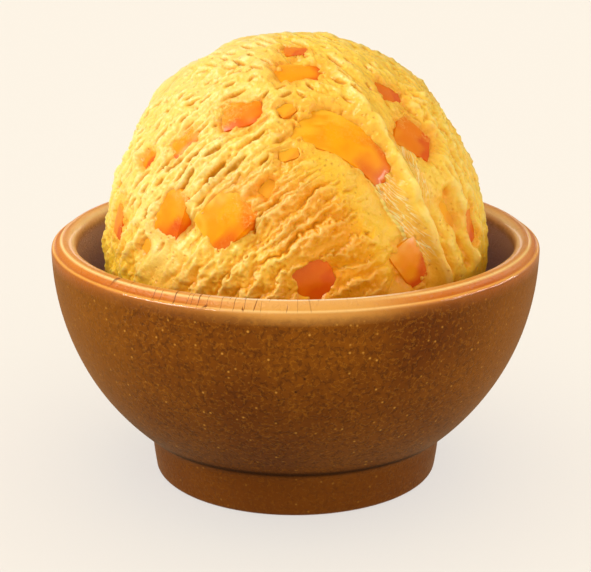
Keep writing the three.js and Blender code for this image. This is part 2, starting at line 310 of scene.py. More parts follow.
def ramped(tree, place, source, start, stop, low=0.0, high=1.0, smooth=True):  # from low to high
    made = newNode(tree, "MapRange", place, interpolation_type="SMOOTHSTEP" if smooth else "LINEAR")
    setInputs(made, From_Min=start, From_Max=stop, To_Min=low, To_Max=high)
    tree.links.new(source, made.inputs["Value"])
    return made.outputs["Result"]


def paintOver(tree, under, layers):  # each layer is a mask, the share of it that shows, and its colour
    for step, (mask, share, shade) in enumerate(layers):
        left = 150 * step - 800
        factor = mask if share == 1 else scaled(tree, (left, 100), mask, share)
        under = mixColours(tree, (left, 300), factor, under, colour(*shade))
    return under


def addBump(tree, shader, place, height, distance, strength):
    bump = newNode(tree, "Bump", place)
    setInputs(bump, Strength=strength, Distance=distance)
    tree.links.new(height, bump.inputs["Height"])
    tree.links.new(bump.outputs["Normal"], shader.inputs["Normal"])



# the scoop's form, in millimetres from its middle

scoop = {
    "radius": 35.5, "rise": 39.7, "drop": 35.2,  # half its width, and its height above and below its middle
    "level": 43.0, "footGap": 0.7,  # the middle's height, and the gap to the bowl's inside
    "sphereSteps": 6, "crowding": 0.6, "crowdingFall": 10, "frontCrowding": 0.3,  # faces crowd where it shows
    "finer": (-0.06, -0.05),  # split once more above this height and in front of this depth
    "stroke": 37.0,  # turns an angle round a pole into millimetres
}
bowl = {
    "radius": 45.0, "lipRadius": 2.3, "lipHeight": 43.4, "footTop": 28.0, "footBase": 26.6, "footEdge": 1.2,
    "ringWidth": 5.0, "recess": 3.5, "floor": 8.5, "innerRoundness": 2.5, "sides": 128, "lipSquareness": 2.5,
    "trough": 0.85, "troughAt": 0.58, "troughWidth": 0.32,  # its depth, and its place and width in lip radii
    "crazeAcross": 1.9, "crazeAlong": 26.0,  # the size of the crazing's cells
}
bowl["reach"] = bowl["radius"] - 2 * bowl["lipRadius"]


def innerHeight(radius):  # height of the bowl's inner face
    roundness = bowl["innerRoundness"]
    share = np.minimum(1, radius / bowl["reach"]) ** roundness
    return bowl["lipHeight"] - (bowl["lipHeight"] - bowl["floor"]) * (1 - share) ** (1 / roundness)


def directionAt(azimuth, rise):
    a, r = azimuth * degrees, rise * degrees
    return np.array([math.sin(a) * math.cos(r), -math.cos(a) * math.cos(r), math.sin(r)])


def smoothScoop(direction):
    height = np.where(direction[..., 2] > 0, scoop["rise"], scoop["drop"])
    return np.stack([scoop["radius"] * direction[..., 0], scoop["radius"] * direction[..., 1],
                     height * direction[..., 2]], -1)


def faceDirection(direction):
    height = np.where(direction[..., 2] > 0, scoop["rise"], scoop["drop"])
    out = np.stack([direction[..., 0] / scoop["radius"], direction[..., 1] / scoop["radius"],
                    direction[..., 2] / height], -1)
    return out / np.linalg.norm(out, axis=-1, keepdims=True)


def unevenness(points, wavelength):
    k = 2 * math.pi / wavelength
    x, y, z = points[..., 0], points[..., 1], points[..., 2]
    return (np.sin(k * (0.83 * x + 0.31 * y - 0.46 * z) + 0.4)
            + np.sin(k * (-0.42 * x + 0.87 * y + 0.61 * z) + 2.1)
            + np.sin(k * (0.27 * x - 0.66 * y + 1.12 * z) + 4.4)) / 3


# the strokes run in circles round a pole, and the torn ledges step down towards it
strokes = {
    "left": {"pole": (36, -36), "seed": 17.0, "crumb": 1.0, "bare": 0.8, "slit": 1.0},
    "right": {"pole": (-48, -27.5), "seed": 9.0, "crumb": 0.5, "bare": 1.9, "slit": 1.15},
    "back": {"pole": (170, -35), "seed": 3.0, "crumb": 0.9, "bare": 1.2, "slit": 1.0},
}
ledges = {"rise": 0.12, "sway": 0.42, "swayLength": 17, "twist": 0.16, "twistLength": 8}
ledgePatches = [
    {"zone": "left", "at": (-6, 8), "full": 22, "none": 40, "pitch": 3.6, "depth": 1.5},
    {"zone": "left", "at": (-4, 33), "full": 14, "none": 30, "pitch": 2.3, "depth": 0.85},
    {"zone": "left", "at": (-72, 0), "full": 14, "none": 32, "pitch": 4.4, "depth": 1.2},
    {"zone": "left", "at": (-33, 34), "full": 12, "none": 27, "pitch": 1.8, "depth": 0.6},
    {"zone": "left", "at": (-62, 48), "full": 22, "none": 46, "pitch": 5.6, "depth": 0.8},
    {"zone": "right", "at": (76, 30), "full": 22, "none": 40, "pitch": 3.6, "depth": 1.1},
    {"zone": "right", "at": (62, 62), "full": 20, "none": 40, "pitch": 4.2, "depth": 0.75},
    {"zone": "back", "at": (122, 22), "full": 24, "none": 44, "pitch": 4.4, "depth": 1.5},
    {"zone": "back", "at": (-158, 24), "full": 26, "none": 46, "pitch": 4.3, "depth": 1.6},
]

folds = [
    {"name": "seam", "lip": True, "width": 6.5, "height": -1.7, "block": 7.0, "slope": 1.2,
     "through": [(3, 49), (16, 37.5), (25, 29), (31.5, 17), (38.5, 5), (46, -12)]},
    {"name": "mainRidge", "width": 1.2, "height": 1.2,
     "through": [(24, 72), (30, 53), (36, 39), (38.5, 28), (42, 18), (47, 6), (52, -8)]},
    {"name": "nearGroove", "width": 1.2, "height": -1.3,
     "through": [(44, 25), (46.5, 15), (50, 5), (54, -6)]},
    {"name": "filmValley", "width": 2.8, "height": -0.6,
     "through": [(40, 46), (44, 34), (46, 22), (50, 10)]},
    {"name": "thirdRidge", "width": 1.5, "height": 1.2,
     "through": [(62, 44), (58, 33), (59, 22), (61.5, 10), (64.5, -2)]},
    {"name": "farGroove", "width": 1.3, "height": -1.4,
     "through": [(54.5, 25), (55.5, 18), (58, 9), (61, 0)]},
    {"name": "farRidge", "width": 2.2, "height": 0.8,
     "through": [(72, 54), (67, 34), (68, 16), (72, 0)]},
    {"name": "backGroove", "width": 1.6, "height": -1.5,
     "through": [(150, 66), (166, 46), (172, 24), (170, 2)]},
    {"name": "backRidge", "width": 2.6, "height": 1.3,
     "through": [(136, 64), (156, 48), (163, 26), (161, 4)]},
    {"name": "leftBackGroove", "width": 1.5, "height": -1.4,
     "through": [(-120, 60), (-116, 38), (-124, 16), (-128, 0)]},
    {"name": "leftBackRidge", "width": 2.4, "height": 1.1,
     "through": [(-108, 62), (-106, 38), (-113, 16), (-117, 0)]},
]


def smoothRoute(bends, steps):  # a smooth line through the bends
    bends = [2 * bends[0] - bends[1], *bends, 2 * bends[-1] - bends[-2]]
    route = []
    for a, b, c, d in zip(bends, bends[1:], bends[2:], bends[3:]):
        for i in range(steps):
            t = i / steps
            route.append(0.5 * (2 * b + (c - a) * t + (2 * a - 5 * b + 4 * c - d) * t * t
                                + (3 * b - a - 3 * c + d) * t ** 3))
    return np.array([*route, bends[-2]])


for fold in folds:
    fold["route"] = smoothRoute([smoothScoop(directionAt(*spot)) for spot in fold["through"]], 6)


def besideRoute(points, outward, route):  # distance, side (1 is right of a route that runs down), share along
    distance = np.full(len(points), 1e9)
    side = np.ones(len(points))
    along = np.zeros(len(points))
    for i, (a, b) in enumerate(zip(route, route[1:])):
        run = b - a
        off = points - a
        share = np.clip(off @ run / (run @ run), 0, 1)
        off = off - share[:, None] * run
        gap = np.linalg.norm(off, axis=1)
        turn = np.sign(np.einsum("ij,ij->i", outward, np.cross(run, off)))
        closer = gap < distance
        distance = np.where(closer, gap, distance)
        side = np.where(closer, np.where(turn == 0, 1, turn), side)
        along = np.where(closer, (i + share) / (len(route) - 1), along)
    return distance, side, along


def foldRelief(points, outward, ragged):
    relief = np.zeros(len(points))
    seam = None
    for fold in folds:
        distance, side, along = besideRoute(points, outward, fold["route"])
        ends = smoothStep(0, 0.12, along) * smoothStep(1, 0.88, along)
        if fold.get("lip"):
            seam = distance * side
            behind = smoothStep(0, 0.6, distance) * smoothStep(fold["width"], 1.5, distance)
            before = smoothStep(fold["block"], 0.4, distance)
            relief += ends * np.where(side > 0, fold["height"] * behind, -fold["slope"] * before)
        else:
            worn = np.maximum(0, distance + 0.35 * ragged)
            relief += ends * fold["height"] * (1 + 0.45 * ragged) * np.exp(-((worn / fold["width"]) ** 2))
    return relief, seam


# the notch is the place beside a piece, right and uphill, where its flank shows, and how deep
fruitPieces = [
    {"name": "top", "at": (-1, 77), "half": (2.3, 1.9, 1.8), "turn": 0, "hollow": 0.6},
    {"name": "crown", "at": (2, 66), "half": (4.6, 2.8, 2.4), "turn": 4, "hollow": 0.8,
     "notch": (-0.6, 3.2, 1.3)},
    {"name": "high_left", "at": (-24, 49), "half": (4.1, 3.0, 2.6), "turn": 20, "hollow": 0.8,
     "notch": (2.4, -2.6, 1.2)},
    {"name": "small_left", "at": (-45, 38), "half": (3.4, 2.2, 2.0), "turn": 52, "hollow": 0.7, "fill": 0.78},
    {"name": "edge_left", "at": (-61, 31), "half": (2.1, 1.8, 1.7), "turn": 62, "hollow": 0.8, "fill": 0.85},
    {"name": "lens_left", "at": (-41, 19), "half": (5.2, 3.5, 3.2), "turn": 74, "hollow": 0.8, "fill": 0.8,
     "notch": (3.6, -1.5, 1.7)},
    {"name": "low_left", "at": (-67, 12), "half": (3.1, 2.1, 2.0), "turn": 84, "hollow": 0.8},
    {"name": "crumb_left", "at": (-50, 9), "half": (1.6, 1.3, 1.4), "turn": 60, "hollow": 0.8, "fill": 0.86},
    {"name": "big_left", "at": (-21.5, 20), "half": (5.8, 4.6, 4.0), "turn": 48, "hollow": 0.9, "fill": 0.82,
     "notch": (5.2, -2.6, 2.3)},
    {"name": "sliver", "at": (-9.4, 28.6), "half": (1.9, 1.2, 1.4), "turn": 66, "hollow": 0.9},
    {"name": "seam_crumb", "at": (-4, 51), "half": (1.6, 1.3, 1.4), "turn": 30, "hollow": 0.8},
    {"name": "fleck", "at": (-2.5, 37.5), "half": (2.0, 1.1, 1.3), "turn": 14, "hollow": 0.6},
    {"name": "great", "at": (20, 39.5), "half": (9.9, 4.0, 4.0), "turn": -43, "hollow": 0.3, "fill": 0.93,
     "taper": 0.24, "bend": 24, "bow": 2.2},
    {"name": "high_right", "at": (53.5, 53.5), "half": (2.8, 2.3, 2.2), "turn": -30, "hollow": 1.0},
    {"name": "frosted", "at": (50.5, 39), "half": (4.6, 3.8, 3.2), "turn": -48, "hollow": 1.0},
    {"name": "groove_sliver", "at": (54.5, 17), "half": (2.8, 1.3, 1.5), "turn": -68, "hollow": 0.4},
    {"name": "front", "at": (5.5, 5.0), "half": (3.9, 3.7, 3.2), "turn": 35, "hollow": 0.8, "fill": 0.82,
     "notch": (3.6, 3.0, 1.4)},
    {"name": "low_right", "at": (36.5, 6.5), "half": (4.9, 3.3, 3.2), "turn": -62, "hollow": 0.6,
     "notch": (-3.4, -2.0, 1.3)},
    {"name": "edge_right", "at": (65, 11), "half": (3.4, 2.3, 2.2), "turn": -76, "hollow": 0.8},
    {"name": "side_right", "at": (93, 34), "half": (3.8, 2.6, 2.6), "turn": -40, "hollow": 0.8},
    {"name": "back_right", "at": (124, 12), "half": (4.4, 3.4, 3.2), "turn": 24, "hollow": 0.8,
     "notch": (3.6, -1.5, 1.5)},
    {"name": "back_high", "at": (142, 46), "half": (4.8, 3.0, 2.8), "turn": -30, "hollow": 0.9},
    {"name": "back", "at": (-176, 20), "half": (5.4, 4.0, 3.6), "turn": 58, "hollow": 0.8,
     "notch": (4.0, -2.8, 1.7)},
    {"name": "back_left", "at": (-143, 40), "half": (3.6, 2.6, 2.4), "turn": 16, "hollow": 0.8},
    {"name": "side_back", "at": (-136, 8), "half": (3.0, 2.4, 2.4), "turn": 70, "hollow": 0.8},
    {"name": "side_left", "at": (-96, 30), "half": (4.2, 3.0, 2.8), "turn": -52, "hollow": 0.8,
     "notch": (3.0, -1.6, 1.3)},
]
notchReach = 2.6


def tangents(direction):  # right and uphill over the scoop's surface, and straight out of it
    outward = faceDirection(direction)
    level = np.cross([0, 0, 1], outward)
    level /= np.linalg.norm(level)
    return level, np.cross(outward, level), outward


def hollowRelief(points):
    relief = np.zeros(len(points))
    for chunk in fruitPieces:
        middle = smoothScoop(directionAt(*chunk["at"]))
        reach = 1.15 * max(chunk["half"][0], chunk["half"][1])
        relief -= chunk["hollow"] * np.exp(-((np.linalg.norm(points - middle, axis=1) / reach) ** 2))
        if "notch" in chunk:
            right, uphill, depth = chunk["notch"]
            level, up, outward = tangents(directionAt(*chunk["at"]))
            beside = middle + right * level + uphill * up
            relief -= depth * np.exp(-((np.linalg.norm(points - beside, axis=1) / notchReach) ** 2))
    return relief


def strokePlace(directions, pole):  # millimetres across the strokes and along them
    axis = directionAt(*pole)
    first = np.cross(axis, [0, 0, 1])
    first /= np.linalg.norm(first)
    second = np.cross(axis, first)
    across = np.arccos(np.clip(directions @ axis, -1, 1)) * scoop["stroke"]
    along = np.arctan2(directions @ second, directions @ first) * scoop["stroke"] * 0.85
    return across, along


def zoneShares(directions):  # how far each stroke zone rules, and the distance right of the seam's plane
    beyond = np.arcsin(np.clip(-directions @ directionAt(*strokes["right"]["pole"]), -1, 1)) * scoop["stroke"]
    behind = smoothStep(0.1, 0.5, directions[:, 1])
    right = (1 - behind) * smoothStep(-1.0, 5.0, beyond)
    return {"left": 1 - behind - right, "right": right, "back": behind}, beyond


def ledgeRelief(points, directions, across, stray, zone):
    relief = np.zeros(len(points))
    torn = np.zeros(len(points))
    sway = (ledges["sway"] * unevenness(points, ledges["swayLength"])
            + ledges["twist"] * unevenness(points, ledges["twistLength"]))
    for patch in ledgePatches:
        if patch["zone"] != zone:
            continue
        away = np.arccos(np.clip(directions @ directionAt(*patch["at"]), -1, 1)) / degrees
        share = smoothStep(patch["none"], patch["full"], away)
        turns = sway - across / patch["pitch"] - stray
        phase = turns - np.floor(turns)
        tooth = np.where(phase < ledges["rise"], phase / ledges["rise"], (1 - phase) / (1 - ledges["rise"]))
        relief += share * patch["depth"] * (0.8 + 0.3 * unevenness(points, 23)) * (tooth - 0.45)
        torn = np.maximum(torn, share * smoothStep(0.4, 1.2, patch["depth"]))
    return relief, torn


def scatter(i, j, seed):  # a draw from 0 to 1 for each cell
    wild = np.sin(i * 127.1 + j * 311.7 + seed * 74.7) * 43758.5453
    return wild - np.floor(wild)


slits = {
    "across": 2.3, "along": 4.2, "share": 0.76, "halfLength": 2.3, "halfWidth": 0.52, "depth": 1.8,
    "smallest": 0.34, "slant": 0.4, "edge": 2.6,
}


def slitRelief(across, along, seed):  # short furrows left in the smooth parts, along the strokes
    row = np.floor(across / slits["across"])
    relief = np.zeros(len(across))
    for di in (-1, 0, 1):
        i = row + di
        slide = along + scatter(i, 3.0, seed) * slits["along"]
        column = np.floor(slide / slits["along"])
        for dj in (-1, 0, 1):
            j = column + dj
            kept = scatter(i, j, seed + 1) < slits["share"]
            size = slits["smallest"] + (1 - slits["smallest"]) * scatter(i, j, seed + 2) ** 2
            du = across - (i + 0.3 + 0.4 * scatter(i, j, seed + 3)) * slits["across"]
            dv = slide - (j + 0.3 + 0.4 * scatter(i, j, seed + 4)) * slits["along"]
            du = du + slits["slant"] * dv * (scatter(i, j, seed + 5) - 0.5)
            width = np.where(du > 0, 0.7, 1.2) * slits["halfWidth"] * (0.5 + 0.5 * size)
            far = (du / width) ** 2 + (dv / (slits["halfLength"] * size)) ** 2
            relief -= kept * slits["depth"] * (0.4 + 0.6 * size) * np.exp(-far ** slits["edge"])
    return relief


def flatBlotches(across, along, size, stretch, seed, octaves=1):  # noise drawn out along the strokes
    spots = np.stack([across / size, along / (size * stretch), np.full(len(across), seed)], -1)
    return blotches(spots, 1.0, seed, octaves)


def nodules(across, along, size, seed):  # rounded crumbs from 0 at their borders to 1
    u, v = across / size, along / size
    column, row = np.floor(u), np.floor(v)
    near = np.full(len(across), 9.0)
    for di in (-1, 0, 1):
        for dj in (-1, 0, 1):
            i, j = column + di, row + dj
            du = u - i - scatter(i, j, seed)
            dv = v - j - scatter(i, j, seed + 1)
            near = np.minimum(near, du * du + dv * dv)
    return 1 - np.minimum(1, near)


crumbs = {
    "coarse": 2.3, "fine": 1.0, "nodule": 1.1,  # sizes
    "stray": (0.16, 0.15),  # how far coarse and fine crumbs push a ledge's edge about, in pitches
    "smooth": (0.10, 0.05, 0.04), "torn": (0.18, 0.09, 0.09),  # heights, coarse, fine and rounded
    "drop": 0.2,
    "melted": 0.4,  # the share of their height that is left at the foot
}


def strokeRelief(points, directions, calm, name):
    zone = strokes[name]
    across, along = strokePlace(directions, zone["pole"])
    coarse = flatBlotches(across, along, crumbs["coarse"], 1.3, zone["seed"], 3)
    fine = flatBlotches(across, along, crumbs["fine"], 1.2, zone["seed"] + 1, 2)
    stray = crumbs["stray"][0] * coarse + crumbs["stray"][1] * fine
    ledge, torn = ledgeRelief(points, directions, across, stray, name)
    torn *= calm
    slit = slitRelief(across + 0.2 * coarse, along, zone["seed"])
    slit *= (0.1 + 0.9 * calm) * (1 - 0.8 * torn) * smoothStep(0.05, 0.3, directions[:, 2])
    rounded = nodules(across + 0.5 * fine, along / 1.8, crumbs["nodule"], zone["seed"])
    eased = smoothStep(-0.4, 0.15, directions[:, 0])  # calmer plates towards the right
    broken = torn * zone["crumb"] * (1 - 0.8 * eased)
    relief = calm * (1 - 0.25 * eased) * ledge + zone["slit"] * slit - crumbs["drop"] * torn
    melting = crumbs["melted"] + (1 - crumbs["melted"]) * smoothStep(-0.25, 0.2, directions[:, 2])
    for bare, more, wave in zip(crumbs["smooth"], crumbs["torn"], (coarse, fine, rounded)):
        relief += melting * (bare * zone["bare"] + more * broken) * wave
    return relief, torn, -slit


# the seam's block was wiped smooth, up to these distances from its plane and this height
wiped = {"left": (2.5, 8.5), "right": (12, 19), "up": (0.76, 0.86)}
# heights and lengths; the whole is sunk a little, the top more, so that it stays inside the solid
softLumps = {"waves": [(0.35, 14), (0.25, 29), (0.28, 6.5), (0.14, 3.9)], "sunk": 0.3, "topSunk": 0.3}


def scoopRelief(directions):
    points = smoothScoop(directions)
    outward = faceDirection(directions)
    shown = smoothStep(-0.42, -0.12, directions[:, 2])
    shares, beyond = zoneShares(directions)
    fold, seam = foldRelief(points, outward, blotches(points, 2.6, 11))
    calm = np.where(beyond < 0, smoothStep(*wiped["left"], -beyond), smoothStep(*wiped["right"], beyond))
    calm = np.maximum(calm, smoothStep(*wiped["up"], directions[:, 2]))
    relief = np.zeros(len(points))
    tornAll = np.zeros(len(points))
    cut = np.zeros(len(points))
    for name in strokes:
        spots = np.flatnonzero((shares[name] > 0) & (shown > 0))
        scraped, torn, slit = strokeRelief(points[spots], directions[spots], calm[spots], name)
        relief[spots] += shares[name][spots] * scraped
        tornAll[spots] += shares[name][spots] * torn
        cut[spots] += shares[name][spots] * slit
    lumps = -softLumps["sunk"] - softLumps["topSunk"] * smoothStep(0.9, 1.0, directions[:, 2])
    for height, length in softLumps["waves"]:
        lumps += height * unevenness(points, length)
    relief = shown * (relief + fold) + hollowRelief(points) + lumps
    return relief, tornAll * shown, cut, seam


# camera and light first, so that every try shows the same frame

photo = {"place": (0, -0.3345, 0.1380), "aim": (0, 0, 0.0351), "focalPixels": 1875, "widthPixels": 591}


def makeCamera():
    bpy.ops.object.camera_add(location=photo["place"])
    camera = bpy.context.object
    camera.name = "camera"
    look = Vector(photo["aim"]) - Vector(photo["place"])
    camera.rotation_euler = look.to_track_quat("-Z", "Y").to_euler()
    camera.data.sensor_width = 36
    camera.data.lens = photo["focalPixels"] / photo["widthPixels"] * camera.data.sensor_width
    camera.data.clip_start = 0.01
    bpy.context.scene.camera = camera


suns = [  # place, power, tint, and softness in degrees
    ("key", (-0.76, -0.22, 0.61), 1.75, (1.0, 0.98, 0.94), 26),
    ("fill", (0.15, -0.90, 0.28), 0.32, (1.0, 0.94, 0.86), 60),
    ("rightFill", (0.85, -0.40, 0.35), 0.48, (1.0, 0.86, 0.54), 50),
    ("leftGlint", (-0.66, -0.30, 0.69), 2.5, (1.0, 0.99, 0.95), 5),
    ("rightGlint", (0.95, -0.22, 0.22), 0.85, (1.0, 0.97, 0.84), 10),
    ("floorLight", (0, 0, 1), 2.96, (0.99, 0.99, 1.0), 10),
]
strips = [  # start, end, width and power
    ("leftStrip", (-0.37, -0.01, 0.26), (-0.19, -0.24, 0.34), 0.09, 3.8),
    ("rightStrip", (0.33, -0.10, 0.29), (0.36, 0.19, 0.15), 0.04, 2.2),
    ("backStrip", (-0.25, 0.42, 0.12), (0.25, 0.42, 0.12), 0.04, 0.12),
]
room = {
    "tint": (255, 226, 182),
    "strength": 0.68,
    "floor": (204, 206, 206),
    "floorSize": 40,
    "stripAim": 0.045,  # the strips look at this height, the middle of the whole
}


def makeSun(name, place, power, tint, softness):  # shines towards the scoop from its place
    bpy.ops.object.light_add(type="SUN", location=place)
    lamp = bpy.context.object
    lamp.name = name
    lamp.rotation_euler = Vector(place).to_track_quat("Z", "Y").to_euler()
    lamp.data.energy = power
    lamp.data.color = tint
    lamp.data.angle = softness * degrees


def makeStrip(name, start, end, width, power):  # a long soft box that only shines in the glaze
    start, end = Vector(start), Vector(end)
    bpy.ops.object.light_add(type="AREA", location=(start + end) / 2)
    lamp = bpy.context.object
    lamp.name = name
    back = (lamp.location - Vector((0, 0, room["stripAim"]))).normalized()
    along = (end - start) - back * back.dot(end - start)
    axes = Matrix((along.normalized(), back.cross(along).normalized(), back))
    lamp.rotation_euler = axes.transposed().to_euler()
    lamp.data.shape = "RECTANGLE"
    lamp.data.size = (end - start).length
    lamp.data.size_y = width
    lamp.data.energy = power
    lamp.visible_diffuse = False
    lamp.visible_camera = False
    gloss = bpy.data.collections.get("glossOnly") or bpy.data.collections.new("glossOnly")
    lamp.light_linking.receiver_collection = gloss


def evenFloor(floor):  # the key light leaves the floor to an even light of its own, so its shadow stays faint
    lit = bpy.data.collections.new("floorOnly")
    lit.objects.link(floor)
    spared = bpy.data.collections.new("allButFloor")
    spared.objects.link(floor)
    spared.collection_objects[0].light_linking.link_state = "EXCLUDE"
    for name in ("key", "rightFill", "leftGlint", "rightGlint"):
        bpy.data.objects[name].light_linking.receiver_collection = spared
    bpy.data.objects["floorLight"].light_linking.receiver_collection = lit
    bpy.data.objects["floorLight"].light_linking.blocker_collection = lit


def makeStage():
    deselectAll()
    makeCamera()
    for sun in suns:
        makeSun(*sun)
    for name in ("leftGlint", "rightGlint"):
        bpy.data.objects[name].visible_diffuse = False  # they only sparkle on the wet crests
    for strip in strips:
        makeStrip(*strip)
    world = bpy.context.scene.world or bpy.data.worlds.new("world")
    bpy.context.scene.world = world
    world.use_nodes = True
    backdrop = world.node_tree.nodes["Background"]
    backdrop.inputs["Color"].default_value = colour(*room["tint"])
    backdrop.inputs["Strength"].default_value = room["strength"]
    bpy.context.scene.view_settings.view_transform = "Standard"
    deselectAll()
    bpy.ops.mesh.primitive_plane_add(size=room["floorSize"])
    floor = bpy.context.object
    evenFloor(floor)
    floor.name = "floor"
    floor.visible_glossy = False  # its glare would grey the bowl's lower half
    settle(floor)
    material, tree, shader, place = newMaterial("paleFloor")
    setInputs(shader, Base_Color=colour(*room["floor"]), Roughness=0.9, Specular_IOR_Level=0.1)
    floor.data.materials.append(material)
    print("camera, lights and floor made")


makeStage()


# the bowl

def bowlProfile():  # [radius, height] in millimetres, from under the foot up, over the lip and down inside
    b = bowl

    def arc(centreRadius, centreHeight, radius, start, stop, steps):
        angles = np.radians(np.linspace(start, stop, steps + 1))
        return [(centreRadius + radius * math.cos(a), centreHeight + radius * math.sin(a)) for a in angles]

    ringInner = b["footBase"] - b["ringWidth"]
    bodyStart = -math.degrees(math.acos(b["footTop"] / b["radius"]))
    crease = b["lipHeight"] + b["radius"] * math.sin(math.radians(bodyStart))
    lip = []
    square = b["lipSquareness"]
    for angle in np.radians(np.linspace(0, 180, 31)):  # a bead with a flattened top and a shallow trough
        across, up = math.cos(angle), math.sin(angle)
        swell = b["lipRadius"] / (abs(across) ** square + up ** square) ** (1 / square)
        trough = b["trough"] * math.exp(-((across - b["troughAt"]) / b["troughWidth"]) ** 2)
        rise = min(swell * up, b["lipRadius"]) - trough * min(1, 2 * up)
        lip.append((b["radius"] - b["lipRadius"] + swell * across, b["lipHeight"] + rise))
    inside = []
    for i in range(1, 15):
        radius = b["reach"] * math.cos(math.radians(i / 15 * 90)) ** (2 / b["innerRoundness"])
        inside.append((radius, float(innerHeight(radius))))
    return [
        (8, b["recess"]), (ringInner - 2.2, b["recess"]), (ringInner - 0.5, b["recess"] - 0.3),
        (ringInner, b["recess"] - 1.2), (ringInner + 0.3, 0.7), (ringInner + 0.9, 0.05), (ringInner + 1.6, 0),
        (b["footBase"] - 2 * b["footEdge"], 0),
        *arc(b["footBase"] - b["footEdge"], b["footEdge"], b["footEdge"], -80, 0, 4),
        (b["footBase"] + 0.45, 4.2), (b["footTop"] - 0.75, crease - 1.6), (b["footTop"] - 0.6, crease - 0.75),
        (b["footTop"] - 0.35, crease - 0.15), (b["footTop"] + 0.1, crease + 0.3),
        *arc(0, b["lipHeight"], b["radius"], bodyStart + 2.4, -4, 14),
        *lip,
        *inside,
    ]


def mapRim(piece, points):  # the rim unrolled, so that its crazing crosses it
    layer = piece.data.uv_layers.new(name="rimMap")
    flat = np.empty(len(piece.data.loops) * 2)
    for face in piece.data.polygons:
        middle = math.atan2(face.center.x, -face.center.y)
        for loop, vertex in zip(face.loop_indices, face.vertices):
            x, y, z = points[vertex]
            angle = math.atan2(x, -y)
            angle += round((middle - angle) / math.tau) * math.tau
            flat[2 * loop] = angle * bowl["radius"] / bowl["crazeAcross"]
            flat[2 * loop + 1] = (z - math.hypot(x, y)) / bowl["crazeAlong"]
    layer.data.foreach_set("uv", flat)


def makeBowl():
    deselectAll()
    profile = [(r * mm, z * mm) for r, z in bowlProfile()]
    first = profile[0]
    bpy.ops.mesh.primitive_circle_add(
        vertices=bowl["sides"], radius=first[0], fill_type="TRIFAN", location=(0, 0, first[1]))
    piece = bpy.context.object
    piece.name = "stonewareBowl"
    settle(piece)
    bpy.ops.object.mode_set(mode="EDIT")
    bpy.ops.mesh.select_mode(type="EDGE")
    bpy.ops.mesh.select_all(action="SELECT")
    bpy.ops.mesh.region_to_loop()
    was = first
    for now in profile[1:]:
        bpy.ops.mesh.extrude_edges_move(TRANSFORM_OT_translate={"value": (0, 0, now[1] - was[1])})
        grow = now[0] / was[0]
        bpy.ops.transform.resize(value=(grow, grow, 1), center_override=(0, 0, now[1]))
        was = now
    bpy.ops.mesh.extrude_edges_move(TRANSFORM_OT_translate={"value": (0, 0, bowl["floor"] * mm - was[1])})
    bpy.ops.mesh.merge(type="CENTER")
    bpy.ops.mesh.select_all(action="SELECT")
    bpy.ops.mesh.normals_make_consistent(inside=False)
    bpy.ops.object.mode_set(mode="OBJECT")
    smooth = piece.modifiers.new("smooth", "SUBSURF")
    smooth.levels = smooth.render_levels = 1
    applyAll(piece)

    points = readPoints(piece) / mm
    radius = np.hypot(points[:, 0], points[:, 1])
    wave = blotches(points, thrown["wave"], 1)
    facing = facingOut(piece, points, radius)
    swell = np.where(radius > thrown["from"], thrown["uneven"] * (wave - thrown["inwards"]), 0)
    points[:, :2] *= (1 + swell / np.maximum(radius, thrown["from"]))[:, None]
    writePoints(piece, points * mm)
    paintBowl(piece, points, radius, facing, wave)
    mapRim(piece, points)
    shadeSmooth(piece)
    return piece


thrown = {"wave": 16.0, "uneven": 0.07, "inwards": 0.7, "from": 20}  # how unevenly the bowl was thrown


def facingOut(piece, points, radius):  # 1 where the surface looks away from the bowl's axis, -1 towards it
    flat = np.empty(len(points) * 3)
    piece.data.vertices.foreach_get("normal", flat)
    return np.einsum("ij,ij->i", flat.reshape(-1, 3)[:, :2], points[:, :2]) / np.maximum(radius, 1)


finishes = {  # where the glaze changes, from none to full: millimetres, degrees, or shares of the rim's width
    "lip": (-1.4, 0.8), "inside": (1.4, -1.4), "drip": 0.5, "sideDrip": 0.3,
    "crazedAt": -24, "crazed": (34, 16), "crazedEdge": (1.0, 0.85), "crazedLeast": 0.1,
    "sides": (22, 40), "sideLightUp": (8, 20), "sideEdgeShadeMask": (32, 64), "duskyEdge": (0.95, 1.0),
    "trough": 0.76, "troughWidth": 0.12, "frontAt": 3, "rimSides": (8, 34), "crease": 9.2, "creaseWidth": 0.9,
}


